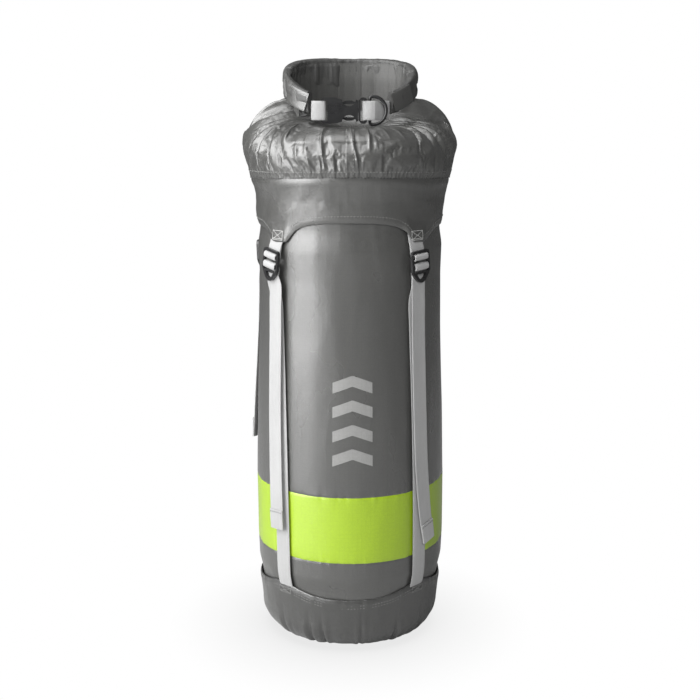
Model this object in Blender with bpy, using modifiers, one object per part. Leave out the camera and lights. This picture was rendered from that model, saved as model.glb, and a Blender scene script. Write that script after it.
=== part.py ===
"""Stuff sack: a roll-top compression sack, built as separate sewn, moulded and webbing pieces.

Metres, +Z up, front towards -Y, origin at the centre of the flat foot. Azimuth is measured round
the sack from the front, positive towards +X. Radii are outer radii of the fabric unless named.
"""

from math import cos, pi, radians, sin

import bmesh
import bpy
from mathutils import Matrix, Vector

# Fabric walls
WALL = 0.0012  # stand-in thickness of the fabric
GAP = 0.0003  # between pieces that touch
TURN_STEPS = 40  # facets round the sack
FOOT_RADIUS = 0.070
FOOT_ROUND = 0.030  # height of the rounded rim above the foot
BASE_HEM_Z = 0.0635
BAND_LOW_Z = 0.101
BAND_HIGH_Z = 0.171
CAP_HEM_Z = 0.441
CAP_SEAM_Z = 0.4905
OVERLAP = 0.014  # how far the body runs on under the base cap and the top cap
JOGGLE = 0.0042  # how far the body pulls in there, to leave room for webbing ends
PULL_IN = (BASE_HEM_Z + 0.002, BASE_HEM_Z + 0.016, CAP_HEM_Z - 0.016, CAP_HEM_Z - 0.002)
SACK_OUTLINE = (  # (height, outer radius) of the stuffed sack above its rounded rim
    (0.030, 0.0955),
    (0.0635, 0.0992),
    (0.110, 0.1005),
    (0.170, 0.1003),
    (0.250, 0.0985),
    (0.335, 0.0955),
    (0.390, 0.0947),
    (0.441, 0.0960),
    (0.470, 0.0980),
    (0.4905, 0.1030),
)

# Shoulder of the top cap: (radius, height) from the seam up to the neck, in three directions
SHOULDER_FRONT = (
    (0.1036, 0.4920),
    (0.1075, 0.5050),
    (0.1095, 0.5180),
    (0.1062, 0.5270),
    (0.0970, 0.5340),
    (0.0830, 0.5363),
    (0.0660, 0.5363),
    (0.0500, 0.5366),
    (0.0340, 0.5400),
)
SHOULDER_SIDE = (
    (0.1036, 0.4920),
    (0.1075, 0.5050),
    (0.1095, 0.5180),
    (0.1080, 0.5290),
    (0.1030, 0.5390),
    (0.0950, 0.5515),
    (0.0860, 0.5596),
    (0.0740, 0.5660),
    (0.0560, 0.5675),
)
SHOULDER_BACK = (
    (0.1036, 0.4920),
    (0.1075, 0.5050),
    (0.1095, 0.5180),
    (0.1078, 0.5290),
    (0.1020, 0.5410),
    (0.0920, 0.5530),
    (0.0790, 0.5635),
    (0.0620, 0.5710),
    (0.0400, 0.5745),
)
NECK_Z = 0.5560  # middle of the fabric that closes the neck

# Rolled closure
ROLL_HALF_WIDTH = 0.0635  # to the middle of the roll
ROLL_HALF_DEPTH = 0.0450
ROLL_THICK = 0.0090
ROLL_TIP_ANGLE = 39.0  # azimuth, in degrees, where each arm ends
ROLL_JOINT_ANGLE = 100.0  # azimuth where each arm meets the back of the roll
ROLL_JOINT_PLAY = 0.2
ROLL_HEIGHT_FRONT = 0.0200
ROLL_HEIGHT_BACK = 0.0330
ROLL_Z_FRONT, ROLL_Z_SIDE, ROLL_Z_BACK = 0.5555, 0.5830, 0.5922
CORE_HEIGHT = 0.0165
CORE_THICK = 0.0016
STIFFENER_HEIGHT = 0.0150
STIFFENER_THICK = 0.0008

# Webbing and buckle of the closure
WEB_WIDTH = 0.0188
WEB_THICK = 0.0012
BUCKLE_Y = -0.0520
BUCKLE_Z = 0.5558
BUCKLE_THICK = 0.0090
FEMALE_LEFT, FEMALE_RIGHT = -0.0295, 0.0080
MALE_LEFT, MALE_RIGHT = 0.0083, 0.0170
BUCKLE_HALF_HEIGHT = 0.0126
CHANNEL_HALF_HEIGHT = 0.0102
CHANNEL_HALF_THICK = 0.0028
WAIST_X = -0.0010
WAIST_RADIUS = 0.0070
WAIST_HALF_HEIGHT = 0.0042
PRONG_HINGE_Z = 0.0078
D_RING_X = 0.0195
D_RING_HEIGHT = 0.0306
D_RING_WIDTH = 0.0180
D_RING_WIRE = 0.0016  # radius

# Compression straps: azimuths in degrees of the foot, the sewn tab, the lock's bar, and the tail's
# top and end, then the height of the tail's end and how far the lock leans in its own plane
STRAPS = {
    "front_left": (-43.2, -47.5, -50.8, -49.0, -45.3, 0.130, 9.0),
    "front_right": (45.5, 42.8, 43.3, 43.5, 51.0, 0.115, -5.0),
    "rear_left": (-120.0, -113.0, -111.0, -108.0, -98.0, 0.205, 5.0),
    "rear_right": (132.0, 132.5, 133.0, 132.5, 129.0, 0.135, -5.0),
}
LOCK_BAR_Z = 0.4135
LOCK_STANDOFF = 0.0064  # from the fabric to the middle of the lock
LOCK_THICK = 0.0028
LOCK_WIDTH = 0.0250
SLOT_WIDTH = 0.0196
SLOTS = ((0.0015, 0.0040), (-0.0078, -0.0015), (-0.0150, -0.0118))  # low, high from the bar
LOCK_TOP, LOCK_TIP = 0.0065, -0.0260
GREY = (0.15, 0.15, 0.145)
DARK_GREY = (0.11, 0.11, 0.108)
GREEN = (0.53, 0.69, 0.045)
WEB_GREY = (0.55, 0.55, 0.54)
BLACK = (0.013, 0.013, 0.014)
WHITE_PLASTIC = (0.60, 0.60, 0.58)


# ---------------------------------------------------------------- scene and materials

def clear_scene():
    for obj in list(bpy.data.objects):
        bpy.data.objects.remove(obj, do_unlink=True)


def new_collection(name):
    collection = bpy.data.collections.new(name)
    bpy.context.scene.collection.children.link(collection)
    return collection


def add_material(obj, colour, roughness):
    material = bpy.data.materials.new(obj.name + "_material")
    material.use_nodes = True
    shader = material.node_tree.nodes["Principled BSDF"]
    shader.inputs["Base Color"].default_value = (*colour, 1.0)
    shader.inputs["Roughness"].default_value = roughness
    shader.inputs["Metallic"].default_value = 0.0
    obj.data.materials.append(material)


def add_object(name, mesh, collection, colour=BLACK, roughness=0.45):
    obj = bpy.data.objects.new(name, mesh)
    collection.objects.link(obj)
    add_material(obj, colour, roughness)
    return obj


def mesh_from(name, points, faces):
    mesh = bpy.data.meshes.new(name)
    mesh.from_pydata([tuple(p) for p in points], [], faces)
    mesh.update()
    return mesh


def smooth(obj, angle=35):
    obj.data.shade_smooth()
    obj.data.set_sharp_from_angle(angle=radians(angle))


def solidify(obj, thickness, offset):
    shell = obj.modifiers.new("thickness", "SOLIDIFY")
    shell.thickness = thickness
    shell.offset = offset
    shell.use_even_offset = False


def subtract(obj, cutter):
    cut = obj.modifiers.new("cut", "BOOLEAN")
    cut.operation = "DIFFERENCE"
    cut.object = cutter


def unite(obj, other):
    join = obj.modifiers.new("join", "BOOLEAN")
    join.operation = "UNION"
    join.object = other


def hide_helper(obj):
    obj.hide_render = True
    obj.display_type = "WIRE"


def add_box(name, low, high, collection):
    """A box between two corners, with its origin at the world's origin."""
    shape = bmesh.new()
    bmesh.ops.create_cube(shape, size=1.0)
    size = [b - a for a, b in zip(low, high)]
    centre = [(a + b) / 2 for a, b in zip(low, high)]
    bmesh.ops.scale(shape, vec=size, verts=shape.verts)
    bmesh.ops.translate(shape, vec=centre, verts=shape.verts)
    mesh = bpy.data.meshes.new(name)
    shape.to_mesh(mesh)
    shape.free()
    return add_object(name, mesh, collection)


def add_plate(name, outline, thickness, collection):
    """A flat outline in X and Z, thickened equally to both sides of its plane."""
    count = len(outline)
    front = [Vector((x, -thickness / 2, z)) for x, z in outline]
    back = [Vector((x, thickness / 2, z)) for x, z in outline]
    faces = [tuple(range(count)), tuple(range(2 * count - 1, count - 1, -1))]
    faces += [(i, count + i, count + (i + 1) % count, (i + 1) % count) for i in range(count)]
    mesh = mesh_from(name, front + back, faces)
    shape = bmesh.new()
    shape.from_mesh(mesh)
    bmesh.ops.recalc_face_normals(shape, faces=shape.faces)
    shape.to_mesh(mesh)
    shape.free()
    return add_object(name, mesh, collection)


# ---------------------------------------------------------------- the sack's outline

def interpolate(table, value):
    """Straight interpolation in a table of (value, result), held level past its ends."""
    if value <= table[0][0]:
        return table[0][1]
    for (a, first), (b, second) in zip(table, table[1:]):
        if value <= b:
            share = (value - a) / (b - a)
            return first + (second - first) * share
    return table[-1][1]


def sack_radius(z):
    if z >= FOOT_ROUND:
        return interpolate(SACK_OUTLINE, z)
    lift = (FOOT_ROUND - z) / FOOT_ROUND
    return FOOT_RADIUS + (SACK_OUTLINE[0][1] - FOOT_RADIUS) * (1 - lift ** 2) ** 0.5


def body_radius(z):
    """The body runs inside both caps, and pulls in a little before it goes under each hem."""
    low = interpolate(((PULL_IN[0], JOGGLE), (PULL_IN[1], 0.0)), z)
    high = interpolate(((PULL_IN[2], 0.0), (PULL_IN[3], JOGGLE)), z)
    return sack_radius(z) - max(low, high)


def heights(low, high, spacing):
    steps = max(1, round((high - low) / spacing))
    return [low + (high - low) * i / steps for i in range(steps + 1)]


def turned_shell(name, profile, collection, colour, roughness=0.35):
    """A shell turned round Z from (radius, height) points listed top to bottom."""
    points = [(radius, 0.0, z) for radius, z in profile]
    mesh = bpy.data.meshes.new(name)
    mesh.from_pydata(points, [(i, i + 1) for i in range(len(points) - 1)], [])
    obj = add_object(name, mesh, collection, colour, roughness)
    turn = obj.modifiers.new("turn", "SCREW")
    turn.steps = TURN_STEPS
    turn.render_steps = TURN_STEPS
    turn.use_merge_vertices = True
    turn.merge_threshold = 0.0001
    solidify(obj, WALL, -1.0)
    return obj


def body_panel(name, low, high, collection, colour):
    bends = [z for z in PULL_IN if low + 0.002 < z < high - 0.002]
    levels = sorted(heights(low, high, 0.045) + bends, reverse=True)
    return turned_shell(name, [(body_radius(z), z) for z in levels], collection, colour)


def build_body(parts):
    body_panel("body_lower_panel", BASE_HEM_Z - OVERLAP, BAND_LOW_Z - GAP / 2, parts, GREY)
    body_panel("body_band", BAND_LOW_Z + GAP / 2, BAND_HIGH_Z - GAP / 2, parts, GREEN)
    body_panel("body_upper_panel", BAND_HIGH_Z + GAP / 2, CAP_HEM_Z + OVERLAP, parts, GREY)


def build_base(parts):
    rim = [radians(90 * i / 5) for i in range(5)]
    rounded = [
        (FOOT_RADIUS + (SACK_OUTLINE[0][1] - FOOT_RADIUS) * sin(a), FOOT_ROUND * (1 - cos(a)))
        for a in rim
    ]
    wall = [(sack_radius(z), z) for z in heights(FOOT_ROUND, BASE_HEM_Z, 0.017)]
    turned_shell("base_cap", list(reversed(rounded + wall)), parts, GREY)
    disc = bmesh.new()
    bmesh.ops.create_cone(
        disc,
        cap_ends=True,
        segments=TURN_STEPS,
        radius1=FOOT_RADIUS - WALL - 0.0012,
        radius2=FOOT_RADIUS - WALL - 0.0012,
        depth=WALL,
    )
    bmesh.ops.translate(disc, vec=(0, 0, WALL / 2), verts=disc.verts)
    mesh = bpy.data.meshes.new("bottom_panel")
    disc.to_mesh(mesh)
    disc.free()
    add_object("bottom_panel", mesh, parts, DARK_GREY, 0.4)


def build_cap_skirt(parts):
    profile = [(sack_radius(z), z) for z in reversed(heights(CAP_HEM_Z, CAP_SEAM_Z, 0.017))]
    turned_shell("cap_skirt", profile, parts, GREY)


def shoulder_ring(station, azimuth):
    """The point of one shoulder station at an azimuth, mixed from the three profiles."""
    front = max(0.0, cos(azimuth)) ** 0.45
    back = max(0.0, -cos(azimuth)) ** 1.2
    side = 1.0 - front - back
    tables = (SHOULDER_FRONT, SHOULDER_SIDE, SHOULDER_BACK)
    shares = (front, side, back)
    radius = sum(w * table[station][0] for w, table in zip(shares, tables))
    z = sum(w * table[station][1] for w, table in zip(shares, tables))
    return Vector((radius * sin(azimuth), -radius * cos(azimuth), z))


def build_shoulder(parts):
    stations = len(SHOULDER_FRONT)
    points = []
    for station in range(stations):
        for step in range(TURN_STEPS):
            points.append(shoulder_ring(station, 2 * pi * step / TURN_STEPS))
    points.append(Vector((0, 0, NECK_Z)))
    faces = []
    for station in range(stations - 1):
        for step in range(TURN_STEPS):
            a = station * TURN_STEPS + step
            b = station * TURN_STEPS + (step + 1) % TURN_STEPS
            faces.append((a, b, b + TURN_STEPS, a + TURN_STEPS))
    last = (stations - 1) * TURN_STEPS
    for step in range(TURN_STEPS):
        faces.append((last + step, last + (step + 1) % TURN_STEPS, len(points) - 1))
    obj = add_object("cap_shoulder", mesh_from("cap_shoulder", points, faces), parts, GREY, 0.35)
    solidify(obj, WALL, -1.0)


# ---------------------------------------------------------------- rolled closure

def roll_centre(azimuth):
    y = -ROLL_HALF_DEPTH * cos(azimuth)
    share = y / ROLL_HALF_DEPTH
    rise = (ROLL_Z_BACK - ROLL_Z_FRONT) / 2 * share
    bow = (ROLL_Z_SIDE - (ROLL_Z_BACK + ROLL_Z_FRONT) / 2) * (1 - share ** 2)
    z = (ROLL_Z_BACK + ROLL_Z_FRONT) / 2 + rise + bow
    return Vector((ROLL_HALF_WIDTH * sin(azimuth), y, z))


def roll_height(azimuth):
    share = (1 - cos(azimuth)) / 2
    return ROLL_HEIGHT_FRONT + (ROLL_HEIGHT_BACK - ROLL_HEIGHT_FRONT) * share


def oblong(height, thickness):
    """Eight points of an oblong with cut corners, as (outwards, up)."""
    t, h, c = thickness / 2, height / 2, min(thickness, height) * 0.3
    return [
        (t, -h + c), (t, h - c), (t - c, h), (-t + c, h),
        (-t, h - c), (-t, -h + c), (-t + c, -h), (t - c, -h),
    ]


def slot_section(height, thickness):
    t, h = thickness / 2, height / 2
    return [(t, -h), (t, h), (-t, h), (-t, -h)]


def sweep(name, azimuths, section, collection, colour=BLACK, roughness=0.45):
    """A closed solid swept along the roll. section(azimuth) lists (outwards, up) points."""
    points = []
    for azimuth in azimuths:
        centre = roll_centre(azimuth)
        ahead = roll_centre(azimuth + 0.01) - roll_centre(azimuth - 0.01)
        outwards = ahead.cross(Vector((0, 0, 1))).normalized()
        points += [centre + outwards * out + Vector((0, 0, up)) for out, up in section(azimuth)]
    count = len(section(azimuths[0]))
    faces = [tuple(range(count))]
    for i in range(len(azimuths) - 1):
        for j in range(count):
            a, b = i * count + j, i * count + (j + 1) % count
            faces.append((a, a + count, b + count, b))
    last = (len(azimuths) - 1) * count
    faces.append(tuple(range(last + count - 1, last - 1, -1)))
    mesh = mesh_from(name, points, faces)
    shape = bmesh.new()
    shape.from_mesh(mesh)
    bmesh.ops.recalc_face_normals(shape, faces=shape.faces)
    shape.to_mesh(mesh)
    shape.free()
    return add_object(name, mesh, collection, colour, roughness)


def spread(low, high, count):
    return [radians(low + (high - low) * i / (count - 1)) for i in range(count)]


def build_roll(parts, cutters):
    tip, split, play = ROLL_TIP_ANGLE, ROLL_JOINT_ANGLE, ROLL_JOINT_PLAY
    pieces = (
        ("roll_left_arm", tip, split - play, 8),
        ("roll_back", split + play, 360 - split - play, 16),
        ("roll_right_arm", 360 - split + play, 360 - tip, 8),
    )
    for name, low, high, count in pieces:
        outer = spread(-low, -high, count)
        roll = sweep(name, outer, lambda a: oblong(roll_height(a), ROLL_THICK), parts, GREY, 0.35)
        inner = spread(-low + 3, -high - 3, count + 2)
        core = sweep(
            name + "_core", inner, lambda a: slot_section(CORE_HEIGHT, CORE_THICK), cutters
        )
        hide_helper(core)
        subtract(roll, core)
    sweep(
        "closure_stiffener",
        spread(-tip - 2, -360 + tip + 2, 26),
        lambda a: slot_section(STIFFENER_HEIGHT, STIFFENER_THICK),
        parts,
        WHITE_PLASTIC,
        0.5,
    )


# ---------------------------------------------------------------- webbing

def ribbon(name, rows, collection):
    """Flat webbing through rows of points, each row running across its width."""
    across = len(rows[0])
    points = [point for row in rows for point in row]
    faces = []
    for i in range(len(rows) - 1):
        for j in range(across - 1):
            a = i * across + j
            faces.append((a, a + 1, a + across + 1, a + across))
    obj = add_object(name, mesh_from(name, points, faces), collection, WEB_GREY, 0.7)
    shell = obj.modifiers.new("thickness", "SOLIDIFY")
    shell.thickness = WEB_THICK
    shell.offset = 0.0
    shell.use_even_offset = True
    return obj


def flat_row(point, side):
    """Three points across the webbing on a straight line."""
    half = side.normalized() * (WEB_WIDTH / 2)
    return [point - half, point.copy(), point + half]


def curved_row(azimuth, radius, z):
    """Three points across the webbing that follow the round of the sack."""
    half = WEB_WIDTH / 2 / radius
    return [on_sack(azimuth + turn, radius, z) for turn in (-half, 0.0, half)]


def closure_webbing(name, side, approach, bar_x, slot_x, parts):
    """Webbing from an arm's tip, round a buckle bar and back over itself. side is -1 or +1."""
    behind, front = BUCKLE_Y + 0.0031, BUCKLE_Y - 0.0031
    route = approach + (
        (bar_x + side * 0.0050, behind + 0.0003),
        (bar_x, behind),
        (slot_x + side * 0.0004, behind - 0.0008),
        (slot_x, BUCKLE_Y),
        (slot_x + side * 0.0004, front + 0.0008),
        (bar_x, front),
        (bar_x + side * 0.0050, front),
        (bar_x + side * 0.0090, front + 0.0010),
    )
    up = Vector((0, 0, 1))
    rows = [flat_row(Vector((x, y, BUCKLE_Z)), up) for x, y in route]
    ribbon(name, rows, parts)


def build_closure_webbing(parts):
    left = ((-0.0390, -0.0358), (-0.0385, -0.0410), (-0.0372, -0.0455))
    right = ((0.0390, -0.0358), (0.0345, -0.0412), (0.0270, -0.0468))
    closure_webbing("webbing_left", -1, left, -0.0280, -0.0245, parts)
    closure_webbing("webbing_right", 1, right, 0.0155, 0.0120, parts)


# ---------------------------------------------------------------- side-release buckle

def in_buckle(obj):
    obj.data.transform(Matrix.Translation((0, BUCKLE_Y, BUCKLE_Z)))


def build_female(parts, cutters):
    h = BUCKLE_HALF_HEIGHT
    upper = [
        (FEMALE_LEFT, h - 0.003), (FEMALE_LEFT + 0.003, h), (-0.0140, h), (-0.0085, h - 0.0018),
        (0.0065, h - 0.0018), (FEMALE_RIGHT, h - 0.0026),
    ]
    outline = upper + [(x, -z) for x, z in reversed(upper)]
    shell = add_plate("buckle_female", outline, BUCKLE_THICK, parts)
    in_buckle(shell)
    y = CHANNEL_HALF_THICK
    channel = add_box(
        "female_channel",
        (-0.0175, -y, -CHANNEL_HALF_HEIGHT),
        (FEMALE_RIGHT + 0.002, y, CHANNEL_HALF_HEIGHT),
        cutters,
    )
    slot = add_box("female_slot", (-0.0265, -0.01, -0.0100), (-0.0223, 0.01, 0.0100), cutters)
    thin = []
    for side in (-1, 1):
        low = min(side * 0.0020, side * 0.0080)
        high = max(side * 0.0020, side * 0.0080)
        cut = add_box(
            f"female_bar_{side}", (-0.0400, low, -0.0100), (-0.0255, high, 0.0100), cutters
        )
        thin.append(cut)
    for cutter in (channel, slot, *thin):
        in_buckle(cutter)
        hide_helper(cutter)
        subtract(shell, cutter)
    for side in (-1, 1):
        subtract(shell, waist_cutter(side, cutters))
    smooth(shell)


def waist_cutter(side, cutters):
    """A cylinder along Y that opens the window over one prong pad."""
    shape = bmesh.new()
    bmesh.ops.create_cone(
        shape, cap_ends=True, segments=20, radius1=WAIST_RADIUS, radius2=WAIST_RADIUS, depth=0.03
    )
    bmesh.ops.rotate(shape, matrix=Matrix.Rotation(pi / 2, 3, "X"), verts=shape.verts)
    centre = (WAIST_X, BUCKLE_Y, BUCKLE_Z + side * (WAIST_HALF_HEIGHT + WAIST_RADIUS))
    bmesh.ops.translate(shape, vec=centre, verts=shape.verts)
    mesh = bpy.data.meshes.new(f"waist_{side}")
    shape.to_mesh(mesh)
    shape.free()
    obj = add_object(f"waist_{side}", mesh, cutters)
    hide_helper(obj)
    return obj


def build_male(parts, cutters):
    h = BUCKLE_HALF_HEIGHT
    upper = [
        (MALE_LEFT, h - 0.0030), (MALE_LEFT + 0.0030, h), (MALE_RIGHT - 0.0020, h),
        (MALE_RIGHT, h - 0.0020),
    ]
    outline = upper + [(x, -z) for x, z in reversed(upper)]
    base = add_plate("buckle_male", outline, BUCKLE_THICK, parts)
    in_buckle(base)
    tongue = add_box("male_tongue", (-0.0120, -0.0018, -0.0020), (0.0093, 0.0018, 0.0020), cutters)
    slot = add_box("male_slot", (0.0105, -0.01, -0.0100), (0.0142, 0.01, 0.0100), cutters)
    thin = []
    for side in (-1, 1):
        low = min(side * 0.0020, side * 0.0080)
        high = max(side * 0.0020, side * 0.0080)
        cut = add_box(
            f"male_bar_{side}", (0.0132, low, -0.0100), (0.0260, high, 0.0100), cutters
        )
        thin.append(cut)
    for helper in (tongue, slot, *thin):
        in_buckle(helper)
        hide_helper(helper)
    unite(base, tongue)
    for cutter in (slot, *thin):
        subtract(base, cutter)
    smooth(base)


def build_prongs(parts):
    """Each prong is a slim arm with a rounded grip pad, hinged where it leaves the male half."""
    root = MALE_LEFT - GAP
    for name, side in (("prong_upper", 1), ("prong_lower", -1)):
        inner = [
            (root, 0.0068), (-0.0080, 0.0062), (-0.0155, 0.0060),
        ]
        pad = [
            (WAIST_X + 0.0058 * cos(radians(a)), 0.0078 + 0.0021 * sin(radians(a)))
            for a in (160, 125, 90, 55, 20)
        ]
        outer = [(-0.0155, 0.0072), (-0.0130, 0.0082), *pad, (root, 0.0084)]
        outline = [(x, side * z) for x, z in inner + outer]
        prong = add_plate(name, outline, 0.0044, parts)
        hinge = Vector((root, BUCKLE_Y, BUCKLE_Z + side * PRONG_HINGE_Z))
        in_buckle(prong)
        set_origin(prong, hinge)


def set_origin(obj, point):
    """Moves an object's origin without moving its shape."""
    obj.data.transform(Matrix.Translation(-Vector(point)))
    obj.location = point


def build_d_ring(parts):
    """Round wire bent to a D, its straight side inside the webbing loop."""
    half = D_RING_HEIGHT / 2 - D_RING_WIRE
    shoulder = 0.0030  # from the straight side to where the bow starts
    depth = D_RING_WIDTH - D_RING_WIRE - shoulder
    bow = [
        (shoulder + depth * cos(radians(a)), half * sin(radians(a))) for a in range(90, -91, -15)
    ]
    outline = [(0.0, -half + shoulder / 2), (0.0, half - shoulder / 2), *bow]
    curve = bpy.data.curves.new("d_ring", "CURVE")
    curve.dimensions = "3D"
    curve.bevel_depth = D_RING_WIRE
    curve.bevel_resolution = 2
    spline = curve.splines.new("POLY")
    spline.points.add(len(outline) - 1)
    for point, (x, z) in zip(spline.points, outline):
        point.co = (x, 0.0, z, 1.0)
    spline.use_cyclic_u = True
    ring = add_object("d_ring", curve, parts)
    ring.location = (D_RING_X, BUCKLE_Y, BUCKLE_Z)


# ---------------------------------------------------------------- compression straps

def on_sack(azimuth, radius, z):
    return Vector((radius * sin(azimuth), -radius * cos(azimuth), z))


def lock_frame(azimuth, lean):
    """The lock's own axes in the world: X along its bars, Y inwards, Z up its length."""
    place = on_sack(azimuth, body_radius(0.40) + LOCK_STANDOFF, LOCK_BAR_Z)
    turn = Matrix.Rotation(azimuth, 4, "Z") @ Matrix.Rotation(lean, 4, "Y")
    return Matrix.Translation(place) @ turn


def lock_outline():
    w = LOCK_WIDTH / 2
    right = [
        (w - 0.0030, LOCK_TOP), (w - 0.0008, LOCK_TOP - 0.0012), (w, LOCK_TOP - 0.0040),
        (w, -0.0140), (w - 0.0022, -0.0180), (0.0060, -0.0235), (0.0030, LOCK_TIP + 0.0006),
        (0.0, LOCK_TIP),
    ]
    return right + [(-x, z) for x, z in reversed(right[:-1])]


def build_lock(name, frame, parts, cutters):
    lock = add_plate(name, lock_outline(), LOCK_THICK, parts)
    lock.matrix_world = frame
    for number, (low, high) in enumerate(SLOTS):
        half = SLOT_WIDTH / 2
        cutter = add_box(f"{name}_slot_{number}", (-half, -0.01, low), (half, 0.01, high), cutters)
        cutter.matrix_world = frame
        hide_helper(cutter)
        subtract(lock, cutter)
    window = [(-0.0064, -0.0168), (0.0064, -0.0168), (0.0040, -0.0210), (0.0, -0.0233), (-0.0040, -0.0210)]
    cutter = add_plate(f"{name}_window", window, 0.02, cutters)
    cutter.matrix_world = frame
    hide_helper(cutter)
    subtract(lock, cutter)
    smooth(lock)


def lock_rows(frame, points):
    """Rows of webbing at (inwards, up) points of the lock's own frame."""
    side = frame.to_3x3() @ Vector((1, 0, 0))
    return [flat_row(frame @ Vector((0.0, y, z)), side) for y, z in points]


def build_tab(name, azimuth, frame, parts):
    """The sewn tab: down from under the cap's hem, over the lock's first bar and back up."""
    tucked = [
        curved_row(azimuth, body_radius(z) + 0.0016, z)
        for z in (CAP_HEM_Z + 0.0120, CAP_HEM_Z - 0.0005)
    ]
    wrap = (
        (0.0028, 0.0150), (0.0025, 0.0080), (0.0025, 0.0042), (0.0018, 0.0031), (0.0008, 0.0027),
        (-0.0014, 0.0026), (-0.0024, 0.0017), (-0.0024, -0.0017), (-0.0014, -0.0026),
        (0.0014, -0.0026), (0.0030, -0.0022), (0.0040, -0.0008), (0.0040, 0.0040),
        (0.0043, 0.0110),
    )
    ribbon(name, tucked + lock_rows(frame, wrap), parts)


def build_strap(name, foot, top, frame, parts):
    """The standing strap, from under the base hem up the sack and into the lock."""
    low, high = BASE_HEM_Z - 0.010, LOCK_BAR_Z - 0.045
    rows = []
    for z in heights(low, high, 0.026):
        azimuth = foot + (top - foot) * ((z - low) / (high - low)) ** 2
        rows.append(curved_row(azimuth, body_radius(z) + GAP + 0.0001 + WEB_THICK / 2, z))
    into = (
        (0.0046, -0.0280), (0.0041, -0.0127), (0.0036, -0.0093), (0.0025, -0.0076),
        (0.0012, -0.0070),
    )
    ribbon(name, rows + lock_rows(frame, into), parts)


def build_tail(name, top, end, end_z, frame, parts):
    """The loose end: over the lock's second bar, back through it and down in front."""
    over = (
        (0.0, -0.0069), (-0.0014, -0.0069), (-0.0024, -0.0078), (-0.0024, -0.0118),
        (-0.0014, -0.0127), (0.0012, -0.0128), (0.0023, -0.0139), (0.0025, -0.0162),
    )
    start_z = LOCK_BAR_Z - 0.0290
    behind_lip = body_radius(0.40) + LOCK_STANDOFF - 0.0026
    rows = [curved_row(top, behind_lip, start_z)]
    for z in reversed(heights(end_z, start_z - 0.020, 0.030)):
        share = (start_z - z) / (start_z - end_z)
        azimuth = top + (end - top) * share ** 2
        rows.append(curved_row(azimuth, sack_radius(z) + 0.0030 + 0.0020 * share, z))
    ribbon(name, lock_rows(frame, over) + rows, parts)


def build_straps(parts, cutters):
    for name, (foot, tab, bar, top, end, end_z, lean) in STRAPS.items():
        frame = lock_frame(radians(bar), radians(lean))
        build_lock(f"ladder_lock_{name}", frame, parts, cutters)
        build_tab(f"strap_tab_{name}", radians(tab), frame, parts)
        build_strap(f"strap_{name}", radians(foot), radians(bar), frame, parts)
        build_tail(f"strap_tail_{name}", radians(top), radians(end), end_z, frame, parts)


def main():
    clear_scene()
    parts = new_collection("stuff_sack")
    cutters = new_collection("cutters")
    build_base(parts)
    build_body(parts)
    build_cap_skirt(parts)
    build_shoulder(parts)
    build_roll(parts, cutters)
    build_closure_webbing(parts)
    build_female(parts, cutters)
    build_male(parts, cutters)
    build_prongs(parts)
    build_d_ring(parts)
    build_straps(parts, cutters)


main()
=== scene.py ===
"""A stuff sack: fabric, webbing, mouldings, floor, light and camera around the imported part."""

from math import asin, cos, pi, radians, sin

import bmesh
import bpy
import numpy as np
from mathutils import Matrix, Vector


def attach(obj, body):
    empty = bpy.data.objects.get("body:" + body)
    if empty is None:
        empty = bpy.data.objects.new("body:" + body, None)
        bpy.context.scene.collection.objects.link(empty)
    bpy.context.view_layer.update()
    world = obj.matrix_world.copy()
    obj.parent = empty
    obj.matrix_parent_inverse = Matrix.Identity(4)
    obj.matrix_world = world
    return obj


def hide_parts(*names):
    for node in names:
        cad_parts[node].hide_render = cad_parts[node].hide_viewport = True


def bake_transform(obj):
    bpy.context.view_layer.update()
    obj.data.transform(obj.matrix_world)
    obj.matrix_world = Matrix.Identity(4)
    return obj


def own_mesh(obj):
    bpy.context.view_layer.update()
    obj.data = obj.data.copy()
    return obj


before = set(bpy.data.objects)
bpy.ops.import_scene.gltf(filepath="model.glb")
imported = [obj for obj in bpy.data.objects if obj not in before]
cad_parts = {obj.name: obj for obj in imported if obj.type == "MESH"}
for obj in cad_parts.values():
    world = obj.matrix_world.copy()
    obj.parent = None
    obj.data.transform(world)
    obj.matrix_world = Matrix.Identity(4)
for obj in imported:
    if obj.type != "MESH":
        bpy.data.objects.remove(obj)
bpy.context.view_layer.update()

# ---------------------------------------------------------------- sizes, in metres

BASE_HEM = [
    (0, 0.0590), (15, 0.0600), (26, 0.0625), (35, 0.0665), (44, 0.0695), (53, 0.0690),
    (63, 0.0640), (75, 0.0605), (90, 0.0600), (105, 0.0605), (118, 0.0650), (130, 0.0690),
    (140, 0.0670), (154, 0.0630), (165, 0.0600), (180, 0.0590),
]
CAP_HEM = [
    (0, 0.4487), (14, 0.4482), (23, 0.4466), (30, 0.4438), (35, 0.4395), (38.5, 0.4330),
    (40.5, 0.4282), (50, 0.4272), (54, 0.4290), (59, 0.4345), (66, 0.4395), (90, 0.4425),
    (106, 0.4400), (112, 0.4350), (117, 0.4290), (124, 0.4272), (136, 0.4282), (140, 0.4330),
    (145, 0.4405), (150, 0.4440), (158, 0.4466), (166, 0.4482), (180, 0.4487),
]
CAP_SEAM = [(0, 0.4929), (28, 0.4915), (55, 0.4890), (90, 0.4875), (125, 0.4890), (180, 0.4925)]
BAND_LOW_Z = 0.1010
BAND_HIGH_Z = 0.1710
BASE_HEM_Z = 0.0635
CAP_HEM_Z = 0.4410
FOOT_RADIUS = 0.070
FOOT_ROUND = 0.030
SACK_OUTLINE = [
    (0.030, 0.0955), (0.0635, 0.0992), (0.110, 0.1005), (0.170, 0.1003), (0.250, 0.0985),
    (0.335, 0.0955), (0.390, 0.0947), (0.441, 0.0960), (0.470, 0.0980), (0.4905, 0.1030),
]
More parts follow.
